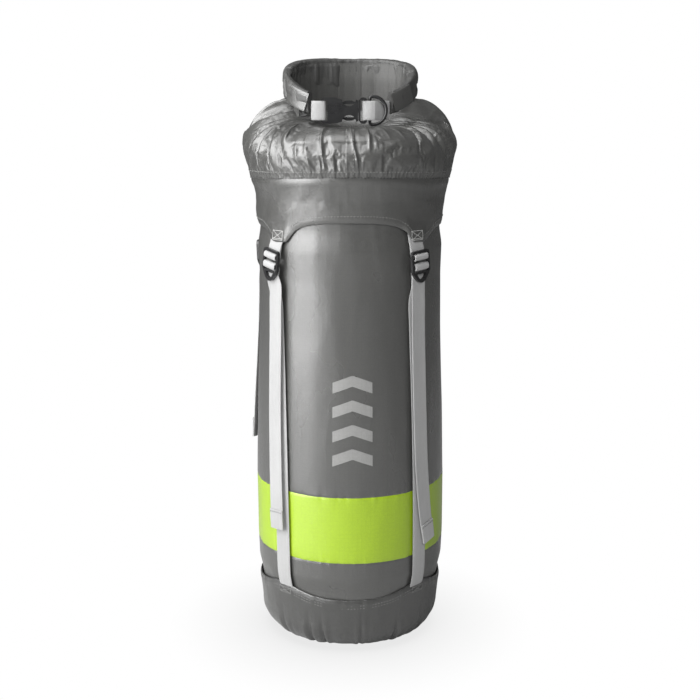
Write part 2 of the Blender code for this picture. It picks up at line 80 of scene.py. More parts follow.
SHOULDER_FRONT = [
    (0.1036, 0.4920), (0.1072, 0.5040), (0.1066, 0.5150), (0.1015, 0.5240), (0.0930, 0.5320),
    (0.0815, 0.5368), (0.0660, 0.5386), (0.0500, 0.5392), (0.0340, 0.5400),
]
SHOULDER_SIDE = [
    (0.1036, 0.4920), (0.1075, 0.5050), (0.1095, 0.5180), (0.1080, 0.5290), (0.1030, 0.5390),
    (0.0950, 0.5515), (0.0860, 0.5596), (0.0740, 0.5660), (0.0560, 0.5675),
]
SHOULDER_BACK = [
    (0.1036, 0.4920), (0.1075, 0.5050), (0.1095, 0.5180), (0.1078, 0.5290), (0.1020, 0.5410),
    (0.0920, 0.5530), (0.0790, 0.5635), (0.0620, 0.5710), (0.0400, 0.5745),
]
THROAT_Z = 0.5350  # bottom of the hollow inside the rolled ring
ROLL_HALF_WIDTH = 0.0635
ROLL_HALF_DEPTH = 0.0450
ROLL_THICK = 0.0090
ROLL_HEIGHT_FRONT = 0.0200
ROLL_HEIGHT_BACK = 0.0330
ROLL_Z_FRONT = 0.5555
ROLL_Z_SIDE = 0.5830
ROLL_Z_BACK = 0.5922
ROLL_TIP_ANGLE = 39.0
ROLL_JOINT_ANGLE = 100.0
STRETCH_END_ANGLE = 64.0
STIFFENER_END_ANGLE = 44.0
WEB_WIDTH = 0.0188
WEB_THICK = 0.0012
BUCKLE_Y = -0.0520
BUCKLE_Z = 0.5558
D_RING_X = 0.0195
D_RING_HEIGHT = 0.0306
D_RING_WIDTH = 0.0180
D_RING_WIRE = 0.0016
LOCK_BAR_Z = 0.4135
LOCK_STANDOFF = 0.0064
STRAP_LOW_Z = BASE_HEM_Z - 0.010
STRAP_HIGH_Z = LOCK_BAR_Z - 0.045
# name: angle of the strap's foot, of the tab, of the lock, of the tail's top, of its end,
# the height of the tail's end, and the lock's lean
STRAPS = {
    "front_left": (-43.2, -47.5, -50.8, -49.0, -45.3, 0.130, 9.0),
    "front_right": (45.5, 42.8, 43.3, 43.5, 51.0, 0.115, -5.0),
    "rear_left": (-120.0, -113.0, -111.0, -108.0, -98.0, 0.205, 5.0),
    "rear_right": (132.0, 132.5, 133.0, 132.5, 129.0, 0.135, -5.0),
}
SEAM_RADIUS = 0.1026
SHOULDER_HOLD = 0.05
SHOULDER_FRAMES = 24
SHOULDER_GROWTH = 0.028
SHOULDER_PRESSURE = 4.0
COLUMNS = 420
AROUND = np.arange(COLUMNS) * (2 * pi / COLUMNS)  # azimuths of a closed cloth's columns
CLOTH_RADIUS = 0.098  # metres of cloth for each radian round the sack
CLEAR = 0.0002  # how far stitches stand off the cloth

# ---------------------------------------------------------------- camera


def linked(name, data):
    """A new object in the scene."""
    obj = bpy.data.objects.new(name, data)
    bpy.context.scene.collection.objects.link(obj)
    return obj


def build_camera():
    data = bpy.data.cameras.new("camera")
    data.lens = 62.98
    data.sensor_width = 36.0
    data.dof.use_dof = False
    camera = linked("camera", data)
    camera.location = (0.0, -1.284, 0.565)
    aim = Vector((0.0, 0.0, 0.304)) - camera.location
    camera.rotation_euler = aim.to_track_quat("-Z", "Y").to_euler()
    bpy.context.scene.camera = camera


# ---------------------------------------------------------------- number helpers


def table(rows, value):
    """Straight interpolation in (value, result) rows, for numbers or arrays."""
    return np.interp(value, [r[0] for r in rows], [r[1] for r in rows])


def smooth_table(rows, value, width):
    """The same, averaged over a window so that it has no corners."""
    shifts = np.linspace(-width, width, 9)
    weights = np.cos(shifts / width * pi / 2) ** 2
    total = sum(w * table(rows, value + s) for w, s in zip(weights, shifts))
    return total / weights.sum()


def by_angle(rows, azimuth, width=4.0):
    """A table over 0 to 180 degrees, used alike on both sides of the sack."""
    degrees_off = np.abs((np.degrees(azimuth) + 180.0) % 360.0 - 180.0)
    total, weight = 0.0, 0.0
    for shift in np.linspace(-width, width, 9):
        w = cos(shift / width * pi / 2) ** 2
        folded = np.abs(degrees_off + shift)
        folded = np.where(folded > 180.0, 360.0 - folded, folded)
        total = total + w * table(rows, folded)
        weight += w
    return total / weight


def turned(azimuth, other):
    """The signed angle from other to azimuth, within half a turn."""
    return (azimuth - other + pi) % (2 * pi) - pi


def bump(distance, width):
    return np.exp(-((distance / width) ** 2))


def ease(low, high, value):
    t = np.clip((value - low) / (high - low), 0.0, 1.0)
    return t * t * (3 - 2 * t)


def lattice(u, v, across, up, seed):
    """Smooth seeded noise from -1 to 1. u from 0 to 1 joins up with itself, and so does v."""
    values = np.random.default_rng(seed).uniform(-1, 1, (up, across))
    x, y = np.broadcast_arrays(u * across, v * up)
    i, j = np.floor(x).astype(int), np.floor(y).astype(int)
    fx, fy = x - i, y - j
    fx, fy = fx * fx * fx * (fx * (6 * fx - 15) + 10), fy * fy * fy * (fy * (6 * fy - 15) + 10)
    i0, i1, j0, j1 = i % across, (i + 1) % across, j % up, (j + 1) % up
    low = values[j0, i0] * (1 - fx) + values[j0, i1] * fx
    high = values[j1, i0] * (1 - fx) + values[j1, i1] * fx
    return low * (1 - fy) + high * fy


def creases(u, v, across, up, seed, octaves=3, soft=0.0):
    """Folds, about 0 on average: ridges of layered noise, with crests as sharp as soft is small."""
    total, size = 0.0, 1.0
    for k in range(octaves):
        ridge = 1.0 - 2.0 * np.hypot(lattice(u, v, across * 2**k, up * 2**k, seed + k), soft)
        total = total + size * ridge
        size *= 0.5
    return total * 0.5


def sack_radius(z):
    z = np.asarray(z, float)
    lift = np.clip((FOOT_ROUND - z) / FOOT_ROUND, 0.0, 1.0)
    foot = FOOT_RADIUS + (SACK_OUTLINE[0][1] - FOOT_RADIUS) * np.sqrt(1 - lift**2)
    wall = smooth_table(SACK_OUTLINE, np.maximum(z, 0.036), 0.006)
    wall = np.where(z < 0.036, table(SACK_OUTLINE, z), wall)
    return np.where(z < FOOT_ROUND, foot, wall)


def body_radius(z):
    low = 0.0028 * ease(BASE_HEM_Z + 0.020, BASE_HEM_Z, z)
    high = 0.0030 * ease(CAP_HEM_Z - 0.024, CAP_HEM_Z, z)
    return sack_radius(z) - np.maximum(low, high)


def cad_body_radius(z):
    low = np.interp(z, [BASE_HEM_Z + 0.002, BASE_HEM_Z + 0.016], [0.0042, 0.0])
    high = np.interp(z, [CAP_HEM_Z - 0.016, CAP_HEM_Z - 0.002], [0.0, 0.0042])
    return table(SACK_OUTLINE, z) - np.maximum(low, high)


def on_sack(azimuth, radius, z):
    return np.stack(
        np.broadcast_arrays(radius * np.sin(azimuth), -radius * np.cos(azimuth), z), axis=-1
    )


# ---------------------------------------------------------------- mesh helpers


def grid_object(name, points, uv, material, closed=True):
    """A smooth quad surface from points (rows, columns, 3) and cloth positions (rows, columns, 2)."""
    rows, columns = points.shape[:2]
    if closed:
        step = uv[:, 1:2] - uv[:, 0:1]
        uv = np.concatenate([uv, uv[:, -1:] + step], axis=1)
    j = np.arange(columns if closed else columns - 1)
    i = np.arange(rows - 1)
    ii, jj = np.meshgrid(i, j, indexing="ij")
    a = ii * columns + jj
    b = ii * columns + (jj + 1) % columns
    faces = np.stack([a, b, b + columns, a + columns], axis=-1).reshape(-1, 4)
    mesh = bpy.data.meshes.new(name)
    mesh.from_pydata(points.reshape(-1, 3).tolist(), [], faces.tolist())
    layer = mesh.uv_layers.new(name="cloth")
    corners = np.stack(
        [uv[ii, jj], uv[ii, jj + 1], uv[ii + 1, jj + 1], uv[ii + 1, jj]], axis=2
    ).reshape(-1, 2)
    layer.data.foreach_set("uv", corners.astype(np.float32).ravel())
    mesh.update()
    mesh.shade_smooth()
    mesh.materials.append(material)
    return linked(name, mesh)


def cloth_uv(across, along):
    """Cloth positions for a grid: across runs along its columns, along runs along its rows."""
    return np.stack(np.broadcast_arrays(np.atleast_2d(across), np.asarray(along)[:, None]), axis=-1).copy()


def grid_normals(points, closed=True):
    """Unit normals of a grid, pointing the way its faces do."""
    if closed:
        along = np.roll(points, -1, axis=1) - np.roll(points, 1, axis=1)
    else:
        along = np.gradient(points, axis=1)
    up = np.gradient(points, axis=0)
    normal = np.cross(along, up)
    length = np.linalg.norm(normal, axis=-1, keepdims=True)
    return normal / np.maximum(length, 1e-12)


def dress(obj, body, slot, *nodes):
    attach(obj, body)
    if nodes:
        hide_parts(*nodes)
    return obj


def join(obj, first, second, span, slot, *nodes):
    """A soft piece between two bodies, baked where it stands in place of the given parts; span, the two
    points it would bend between, is not used.
    """
    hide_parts(*nodes)
    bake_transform(obj)


def mesh_object(name, verts, faces, material, smooth_angle=40):
    mesh = bpy.data.meshes.new(name)
    mesh.from_pydata([tuple(v) for v in verts], [], faces)
    mesh.update()
    mesh.shade_smooth()
    mesh.set_sharp_from_angle(angle=radians(smooth_angle))
    mesh.materials.append(material)
    return linked(name, mesh)


def stitch_row(name, path, normals, material, pitch=0.0032, length=0.0023, width=0.00055):
    """Separate thread stitches lying along a path: path and normals are (n, 3)."""
    path, normals = np.asarray(path, float), np.asarray(normals, float)
    steps = np.linalg.norm(np.diff(path, axis=0), axis=1)
    at = np.concatenate([[0.0], np.cumsum(steps)])
    count = max(1, int(at[-1] / pitch))
    centres = (np.arange(count) + 0.5) * (at[-1] / count)
    verts, faces = [], []
    for c in centres:
        middle = np.array([np.interp(c, at, path[:, k]) for k in range(3)])
        ahead = np.array([np.interp(c + 0.0006, at, path[:, k]) for k in range(3)]) - np.array(
            [np.interp(c - 0.0006, at, path[:, k]) for k in range(3)]
        )
        ahead /= max(np.linalg.norm(ahead), 1e-12)
        out = np.array([np.interp(c, at, normals[:, k]) for k in range(3)])
        out /= max(np.linalg.norm(out), 1e-12)
        side = np.cross(out, ahead)
        base = len(verts)
        for along, wide, high in (
            (-0.5, 0.6, -0.3), (-0.5, -0.6, -0.3), (-0.28, 1, 0.5), (-0.28, -1, 0.5),
            (0.28, 1, 0.5), (0.28, -1, 0.5), (0.5, 0.6, -0.3), (0.5, -0.6, -0.3),
        ):
            verts.append(
                middle + ahead * along * length + side * wide * width / 2 + out * high * width
            )
        for k in (0, 2, 4):
            faces.append((base + k, base + k + 1, base + k + 3, base + k + 2))
        faces.append((base, base + 2, base + 4, base + 6))
        faces.append((base + 1, base + 7, base + 5, base + 3))
    return mesh_object(name, verts, faces, material, 80)


# ---------------------------------------------------------------- materials


def new_material(name):
    material = bpy.data.materials.new(name)
    material.use_nodes = True
    return material, material.node_tree, material.node_tree.nodes["Principled BSDF"]


def set_inputs(shader, **values):
    """Sets a node's inputs; an underscore stands for a space in their names."""
    for key, value in values.items():
        shader.inputs[key.replace("_", " ")].default_value = value


def tint(colour, factor):
    return tuple(min(1.0, c * factor) for c in colour)


def mix_colour(tree, factor, a, b):
    """A colour mix; factor, a and b are sockets or values."""
    made = tree.nodes.new("ShaderNodeMix")
    made.data_type = "RGBA"
    for socket, value in ((made.inputs[0], factor), (made.inputs[6], a), (made.inputs[7], b)):
        if isinstance(value, bpy.types.NodeSocket):
            tree.links.new(value, socket)
        else:
            socket.default_value = value if isinstance(value, float) else (*value, 1.0)
    return made.outputs[2]


def math_node(tree, operation, a, b=None):
    made = tree.nodes.new("ShaderNodeMath")
    made.operation = operation
    for socket, value in zip(made.inputs, (a, b)):
        if value is None:
            continue
        if isinstance(value, bpy.types.NodeSocket):
            tree.links.new(value, socket)
        else:
            socket.default_value = value
    return made.outputs[0]


def scaled_position(tree, scale=(1.0, 1.0, 1.0), source="Object"):
    """Texture coordinates in metres times a scale, each axis by its own."""
    place = tree.nodes.new("ShaderNodeTexCoord")
    mapping = tree.nodes.new("ShaderNodeMapping")
    mapping.inputs["Scale"].default_value = scale
    tree.links.new(place.outputs[source], mapping.inputs["Vector"])
    return mapping.outputs[0]


def noise(tree, vector, scale, detail, roughness):
    made = tree.nodes.new("ShaderNodeTexNoise")
    made.noise_type = "FBM"
    set_inputs(made, Scale=scale, Detail=detail, Roughness=roughness)
    tree.links.new(vector, made.inputs["Vector"])
    return made.outputs["Fac"]


def remap(tree, value, from_low, from_high, to_low, to_high):
    made = tree.nodes.new("ShaderNodeMapRange")
    set_inputs(made, From_Min=from_low, From_Max=from_high, To_Min=to_low, To_Max=to_high)
    tree.links.new(value, made.inputs["Value"])
    return made.outputs[0]


def bump_node(tree, height, distance, strength, below=None):
    made = tree.nodes.new("ShaderNodeBump")
    set_inputs(made, Distance=distance, Strength=strength)
    tree.links.new(height, made.inputs["Height"])
    if below is not None:
        tree.links.new(below, made.inputs["Normal"])
    return made.outputs[0]


def coated_nylon(name, colour, shade, roughness, crumple=1.0, coat=0.48, ripstop=0.0045):
    """Thin woven nylon with a glossy coating: fine threads, a ripstop grid and small crinkles."""
    material, tree, shader = new_material(name)
    links = tree.links
    cloth = scaled_position(tree, source="UV")
    split = tree.nodes.new("ShaderNodeSeparateXYZ")
    links.new(cloth, split.inputs[0])
    threads = []
    for axis in ("X", "Y"):
        angle = math_node(tree, "MULTIPLY", split.outputs[axis], 2 * pi / 0.00042)
        threads.append(math_node(tree, "SINE", angle))
    weave = math_node(tree, "MULTIPLY", threads[0], threads[1])
    grid = []
    for axis in ("X", "Y"):
        part = math_node(tree, "DIVIDE", split.outputs[axis], ripstop)
        part = math_node(tree, "FRACT", part)
        part = math_node(tree, "SUBTRACT", part, 0.5)
        part = math_node(tree, "ABSOLUTE", part)
        grid.append(remap(tree, part, 0.03, 0.07, 1.0, 0.0))
    rip = math_node(tree, "MAXIMUM", grid[0], grid[1])
    place = scaled_position(tree, (1.0, 1.0, 0.45))
    crinkle = noise(tree, place, 26.0, 2.0, 0.45)
    fine = noise(tree, scaled_position(tree), 420.0, 3.0, 0.6)
    patch = noise(tree, scaled_position(tree, (1.0, 1.0, 0.6)), 16.0, 3.0, 0.5)
    base = mix_colour(tree, patch, colour, shade)
    worn = remap(tree, fine, 0.35, 0.7, 0.0, 0.16)
    base = mix_colour(tree, worn, base, tint(colour, 1.5))
    thread_shade = remap(tree, weave, -1.0, 1.0, 0.0, 0.18)
    base = mix_colour(tree, thread_shade, base, tint(shade, 0.6))
    base = mix_colour(tree, math_node(tree, "MULTIPLY", rip, 0.14), base, tint(shade, 0.7))
    links.new(base, shader.inputs["Base Color"])
    rough = remap(tree, patch, 0.0, 1.0, roughness - 0.09, roughness + 0.11)
    links.new(rough, shader.inputs["Roughness"])
    set_inputs(shader, Coat_Weight=coat, Coat_Roughness=0.24, Specular_IOR_Level=0.5 + 0.73 * coat)
    normal = bump_node(tree, crinkle, 0.0060, 0.24 * crumple)
    normal = bump_node(tree, rip, 0.00006, 0.5, normal)
    normal = bump_node(tree, weave, 0.00004, 0.5, normal)
    normal = bump_node(tree, fine, 0.0003, 0.25, normal)
    links.new(normal, shader.inputs["Normal"])
    return material


def webbing_material(name, colour, shade):
    """Flat woven polyester webbing: a herringbone of threads, with plain rounded edges."""
    material, tree, shader = new_material(name)
    links = tree.links
    cloth = scaled_position(tree, source="UV")
    split = tree.nodes.new("ShaderNodeSeparateXYZ")
    links.new(cloth, split.inputs[0])
    across, along = split.outputs["X"], split.outputs["Y"]
    zigzag = math_node(tree, "PINGPONG", across, 0.0025)
    slope = math_node(tree, "ADD", along, zigzag)
    ribs = math_node(tree, "SINE", math_node(tree, "MULTIPLY", slope, 2 * pi / 0.0011))
    warp = math_node(tree, "SINE", math_node(tree, "MULTIPLY", across, 2 * pi / 0.00083))
    height = math_node(tree, "ADD", ribs, math_node(tree, "MULTIPLY", warp, 0.7))
    fuzz = noise(tree, scaled_position(tree), 900.0, 3.0, 0.65)
    patch = noise(tree, scaled_position(tree, (1.0, 1.0, 0.3)), 45.0, 3.0, 0.5)
    base = mix_colour(tree, remap(tree, patch, 0.3, 0.7, 0.0, 0.8), colour, shade)
    # painted shade: the weave's valleys, where the bump sinks, are drawn darker
    base = mix_colour(tree, remap(tree, height, -1.6, 1.2, 0.45, 0.0), base, tint(shade, 0.55))
    base = mix_colour(tree, remap(tree, fuzz, 0.4, 0.75, 0.0, 0.25), base, tint(colour, 1.25))
    links.new(base, shader.inputs["Base Color"])
    set_inputs(shader, Roughness=0.62, Sheen_Weight=0.25, Sheen_Roughness=0.5, Specular_IOR_Level=0.35)
    normal = bump_node(tree, height, 0.00016, 0.7)
    normal = bump_node(tree, fuzz, 0.00012, 0.35, normal)
    links.new(normal, shader.inputs["Normal"])
    return material


def moulded_plastic(name, colour, roughness, grain=1.0):
    """Injection-moulded plastic: an even fine texture, with slightly polished and scuffed patches."""
    material, tree, shader = new_material(name)
    links = tree.links
    place = scaled_position(tree)
    pebble = noise(tree, place, 2600.0, 2.0, 0.5)
    patch = noise(tree, place, 160.0, 4.0, 0.6)
    flow = noise(tree, scaled_position(tree, (1.0, 1.0, 3.0)), 60.0, 3.0, 0.5)
    scuffed = tuple(c * 1.7 + 0.004 for c in colour)
    base = mix_colour(tree, remap(tree, patch, 0.35, 0.75, 0.0, 0.5), colour, scuffed)
    links.new(base, shader.inputs["Base Color"])
    links.new(remap(tree, flow, 0.3, 0.7, roughness - 0.06, roughness + 0.09), shader.inputs["Roughness"])
    set_inputs(shader, Specular_IOR_Level=0.5, Coat_Weight=0.12, Coat_Roughness=0.15)
    normal = bump_node(tree, pebble, 0.00006, 0.3 * grain)
    normal = bump_node(tree, patch, 0.0002, 0.12 * grain, normal)
    links.new(normal, shader.inputs["Normal"])
    return material


def thread_material(name, colour):
    material, tree, shader = new_material(name)
    twist = noise(tree, scaled_position(tree), 2200.0, 2.0, 0.6)
    base = mix_colour(tree, remap(tree, twist, 0.3, 0.7, 0.0, 1.0), colour, tint(colour, 0.6))
    tree.links.new(base, shader.inputs["Base Color"])
    tree.links.new(bump_node(tree, twist, 0.0001, 0.5), shader.inputs["Normal"])
    shader.inputs["Roughness"].default_value = 0.5
    return material


GREY = coated_nylon("grey_coated_nylon", (0.066, 0.066, 0.063), (0.054, 0.054, 0.052), 0.28)
DARK = coated_nylon("base_coated_nylon", (0.042, 0.042, 0.040), (0.034, 0.034, 0.033), 0.31)
# the roll's cloth: the body's grey nylon painted darker as shade, with a rougher, thinner coat
ROLLED_PAINTED_SHADE = coated_nylon("rolled_nylon_painted_shade", (0.053, 0.053, 0.051), (0.043, 0.043, 0.042), 0.50, 1.0, 0.10)
LINING = coated_nylon("lining_nylon", (0.064, 0.064, 0.061), (0.052, 0.052, 0.050), 0.55, 1.0, 0.06)
GREEN = coated_nylon("green_coated_nylon", (0.28, 0.42, 0.002), (0.25, 0.38, 0.002), 0.44, 0.35)
PRINT = coated_nylon("printed_grey", (0.22, 0.22, 0.215), (0.20, 0.20, 0.195), 0.45, 0.5)
WEBBING = webbing_material("grey_webbing", (0.41, 0.41, 0.41), (0.35, 0.35, 0.35))
BLACK = moulded_plastic("black_acetal", (0.012, 0.012, 0.0125), 0.30)
STIFF = moulded_plastic("stiffener_strip", (0.60, 0.60, 0.59), 0.5, 0.5)
THREAD = thread_material("grey_thread", (0.22, 0.22, 0.215))
LIGHT_THREAD = thread_material("light_thread", (0.50, 0.50, 0.49))
# near-black thread, also used as painted shade for the stitch shadows along the cap seam
DARK_THREAD_AND_STITCH_SHADOW = thread_material("dark_thread_and_stitch_shadow", (0.05, 0.05, 0.05))


# ---------------------------------------------------------------- sack body and foot


def strap_angles(z):
    """The standing straps' angles at a height, in radians."""
    share = np.clip((np.asarray(z, float) - STRAP_LOW_Z) / (STRAP_HIGH_Z - STRAP_LOW_Z), 0, 1) ** 2
    return [radians(s[0]) + (radians(s[2]) - radians(s[0])) * share for s in STRAPS.values()]


def body_surface(azimuth, z):
    """Radius of the body's cloth: pulled in under the straps, full between them, with long soft folds."""
    radius = body_radius(z)
    pull = np.zeros(np.broadcast(azimuth, z).shape)
    for angle in strap_angles(z):
        off = np.abs(turned(azimuth, angle)) * radius
        pull = np.maximum(pull, np.exp(-((np.maximum(off - 0.0085, 0.0) / 0.0052) ** 2)))
    radius = radius - 0.0013 * pull
    u = azimuth / (2 * pi)
    v = (z + 0.2) / 1.0
    free = 1.0 - 0.85 * pull
    radius = radius + free * 0.00050 * lattice(u + 0.25 * v, v, 21, 7, 11)
    radius = radius + free * 0.00042 * creases(u - 0.2 * v, v, 22, 9, 21, 2, 0.3)
    # short puckers along the two seams of the coloured band and by the hems
    for seam, depth, seed in ((BAND_LOW_Z, 0.00040, 31), (BAND_HIGH_Z, 0.00045, 41)):
        near = np.exp(-np.abs(z - seam) / 0.0045)
        radius = radius + near * depth * lattice(u, v, 150, 3, seed)
        radius = radius - 0.0004 * bump(z - seam, 0.0009)
    top = ease(0.36, 0.44, z)
    radius = radius + top * free * 0.0007 * creases(u + 0.10 * z, v, 30, 12, 51, 2, 0.2)
    low = ease(0.100, 0.062, z)
    return radius + low * free * 0.0006 * creases(u, v, 34, 14, 61, 2, 0.2)


def body_piece(name, low, high, material):
    azimuth = AROUND
    count = int(round((high - low) / 0.0016))
    z = np.linspace(low, high, count + 1)
    az, zz = np.meshgrid(azimuth, z)
    points = on_sack(az, body_surface(az, zz), zz)
    uv = np.stack([az * CLOTH_RADIUS, zz], axis=-1)
    return grid_object(name, points, uv, material)


def build_body():
    lower = body_piece("body_lower_cloth", 0.0500, BAND_LOW_Z, GREY)
    dress(lower, "sack", "grey_fabric", "body_lower_panel")
    band = body_piece("body_band_cloth", BAND_LOW_Z, BAND_HIGH_Z, GREEN)
    dress(band, "sack", "green_fabric", "body_band")
    upper = body_piece("body_upper_cloth", BAND_HIGH_Z, 0.4690, GREY)
    dress(upper, "sack", "grey_fabric", "body_upper_panel")
    squash_upper(upper)


def squash_upper(obj):
    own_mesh(obj)


def build_print():
    """A plain printed mark: a column of chevrons, thin ink on the cloth."""
    rows, columns = 20, 26
    height, wide = 0.018, 0.020
    for number, low in enumerate((0.204, 0.229, 0.254, 0.279)):
        v, u = np.meshgrid(np.linspace(0, 1, rows), np.linspace(0, 1, columns), indexing="ij")
        x = 0.0025 + (u - 0.5) * 2 * wide
        z = low + height * 0.62 * v + 0.0075 * (1 - np.abs(u - 0.5) * 2)
        az = x / 0.097
        radius = body_surface(az, z) + 0.00025
        points = on_sack(az, radius, z)
        obj = grid_object(
            f"printed_bar_{number}", points, np.stack([x, z], axis=-1), PRINT, closed=False
        )
        dress(obj, "sack", "grey_fabric")
        squash_upper(obj)


def base_hem(azimuth):
    return by_angle(BASE_HEM, azimuth, 3.0)


# angle, depth and width of the deeper puckers round the foot's rim
RIM_PUCKERS = [
    (-27.0, 0.0052, 0.0018), (-18.0, 0.0036, 0.0013), (7.0, 0.0034, 0.0012), (31.0, 0.0038, 0.0014),
    (-48.0, 0.0030, 0.0020), (52.0, 0.0030, 0.0018), (96.0, 0.0036, 0.0018), (131.0, 0.0030, 0.0014),
    (168.0, 0.0040, 0.0018), (-162.0, 0.0030, 0.0014), (-124.0, 0.0036, 0.0018), (-84.0, 0.0030, 0.0016),
]


def build_base():
    azimuth = AROUND
    hem = base_hem(azimuth)
    u = azimuth / (2 * pi)
    rows, lengths = [], []
    # under the foot, from the middle out to the rim
    for r in (0.0005, 0.012, 0.026, 0.040, 0.052, 0.061):
        rows.append(on_sack(azimuth, np.full(COLUMNS, r), 0.0004 + 0 * azimuth))
        lengths.append(-(FOOT_RADIUS - r))
    gathers = creases(u, 0.2, 40, 4, 71) + 0.7 * creases(u, 0.7, 90, 4, 74)
    wide = lattice(u, 0.3, 17, 3, 78)
    rim = np.zeros(COLUMNS)
    for angle, depth, width in RIM_PUCKERS:
        off = turned(azimuth, radians(angle)) * 0.090
        rim -= depth * (np.exp(-np.abs(off) / width) - 0.5 * bump(np.abs(off) - 3 * width, 2 * width))
    folds = 0.0009 * (gathers + wide) + 0.8 * rim
    for k in range(0, 17):
        angle = radians(90 * k / 16)
        r = FOOT_RADIUS - 0.004 + (0.0955 - FOOT_RADIUS + 0.004) * np.sin(angle)
        z = FOOT_ROUND * (1 - np.cos(angle)) + 0.0004
        fold = np.sin(angle) ** 1.3 * (0.30 + 1.1 * np.cos(angle)) * folds
        rows.append(on_sack(azimuth, r + fold * np.sin(angle), np.maximum(z - fold * np.cos(angle), 0.0003)))
        lengths.append(0.045 * k / 16)
    steps = 24
    for k in range(1, steps + 1):
        t = k / steps
        z = FOOT_ROUND + (hem - FOOT_ROUND) * t
        v = z / 0.3
        r = sack_radius(z) + 0.0006 * (1 - t) * ease(0.0, 0.2, t) * creases(u, v, 30, 6, 81)
        r = r + 0.30 * (1 - t) ** 3 * folds
        r = r + 0.0005 * lattice(u, v, 26, 8, 86) * t
        r = r + 0.00045 * ease(0.55, 0.85, t) * lattice(u, v * 0 + 0.4, 140, 3, 88)
        # the hem is drawn in to the body at its edge
        r = r - 0.0010 * ease(0.86, 1.0, t)
        rows.append(on_sack(azimuth, r, z))
        lengths.append(0.045 + (0.033) * t)
    edge = rows[-1]
    for inward, rise in ((0.0005, 0.0004), (0.0011, 0.0002), (0.0016, -0.0010), (0.0019, -0.0060)):
        rows.append(edge - on_sack(azimuth, inward, -rise + 0 * azimuth))
        lengths.append(lengths[-1] + 0.0006)
    points = np.stack(rows)
    uv = cloth_uv(azimuth * CLOTH_RADIUS, lengths)
    obj = grid_object("base_cap_cloth", points, uv, DARK)
    dress(obj, "sack", "grey_fabric", "base_cap", "bottom_panel")
    for number, drop in enumerate((0.0055, 0.0085)):
        around = np.linspace(0, 2 * pi, 900)
        z = base_hem(around) - drop
        waves = 0.0005 * lattice(around / (2 * pi), z / 0.3, 26, 8, 86)
        path = on_sack(around, sack_radius(z) - CLEAR + waves, z)
        row = stitch_row(f"base_hem_stitches_{number}", path, on_sack(around, 1.0, 0.0), THREAD)
        dress(row, "sack", "grey_fabric")
    for name in STRAPS:
        foot = radians(STRAPS[name][0])
        low = float(base_hem(np.array([foot]))[0]) - 0.0105
        box_stitches(
            f"foot_box_{name}", "sack", foot, lambda a, z: sack_radius(z) + 0 * a, low, low + 0.0065, THREAD
        )


# ---------------------------------------------------------------- cap: skirt and shoulder


def cap_hem(azimuth):
    return by_angle(CAP_HEM, azimuth, 2.0)


def cap_seam(azimuth):
    return by_angle(CAP_SEAM, azimuth, 10.0)


def skirt_radius(azimuth, z, t):
    """Radius of the skirt at height z, t of the way from its hem to the seam."""
    u = azimuth / (2 * pi)
    v = (z - 0.3) / 0.4
    radius = sack_radius(z)
    sides = 0.45 + 0.55 * np.abs(np.sin(azimuth)) ** 1.5
    slanted = creases(u + 0.16 * v * np.tanh(5 * np.sin(azimuth)), v, 16, 9, 101, 3, 0.12)
    radius = radius + 0.0016 * sides * slanted * np.sin(pi * np.clip(t, 0, 1)) ** 0.7
    radius = radius + 0.0011 * lattice(u, v, 13, 6, 106) * np.sin(pi * np.clip(t, 0, 1))
    near_seam = np.exp(-np.clip(1 - t, 0, 1) / 0.16)
    radius = radius + 0.00050 * near_seam * lattice(u, v * 0 + 0.1, 120, 3, 111)
    for name in STRAPS:
        tab = radians(STRAPS[name][1])
        off = np.abs(turned(azimuth, tab)) * radius
        radius = radius + 0.0026 * bump(np.maximum(off - 0.0095, 0), 0.005) * ease(0.34, 0.02, t)
    return radius


def box_stitches(name, body, azimuth, surface, low, high, thread):
    """A sewn box with a cross in it, where a strap is held under the cloth.
    surface gives the cloth's radius at (azimuth, z)."""
    half = 0.0078
    corners = [(-half, low), (half, low), (half, high), (-half, high), (-half, low), (half, high)]
    corners += [(half, low + 0.0013), (-half, low + 0.0013), (-half, high), (half, low)]
    across, z = [], []
    for (x0, z0), (x1, z1) in zip(corners[:-1], corners[1:]):
        share = np.linspace(0, 1, 12)[:-1]
        across.append(x0 + (x1 - x0) * share)
        z.append(z0 + (z1 - z0) * share)
    across, z = np.concatenate(across), np.concatenate(z)
    around = azimuth + across / 0.099
    path = on_sack(around, surface(around, z) + 0.0004, z)
    row = stitch_row(name, path, on_sack(around, 1.0, 0.0), thread, 0.0017, 0.0014, 0.0006)
    dress(row, body, "grey_fabric")


def skirt_surface(azimuth, z):
    hem, seam = cap_hem(azimuth), cap_seam(azimuth)
    return skirt_radius(azimuth, z, (z - hem) / (seam - hem))


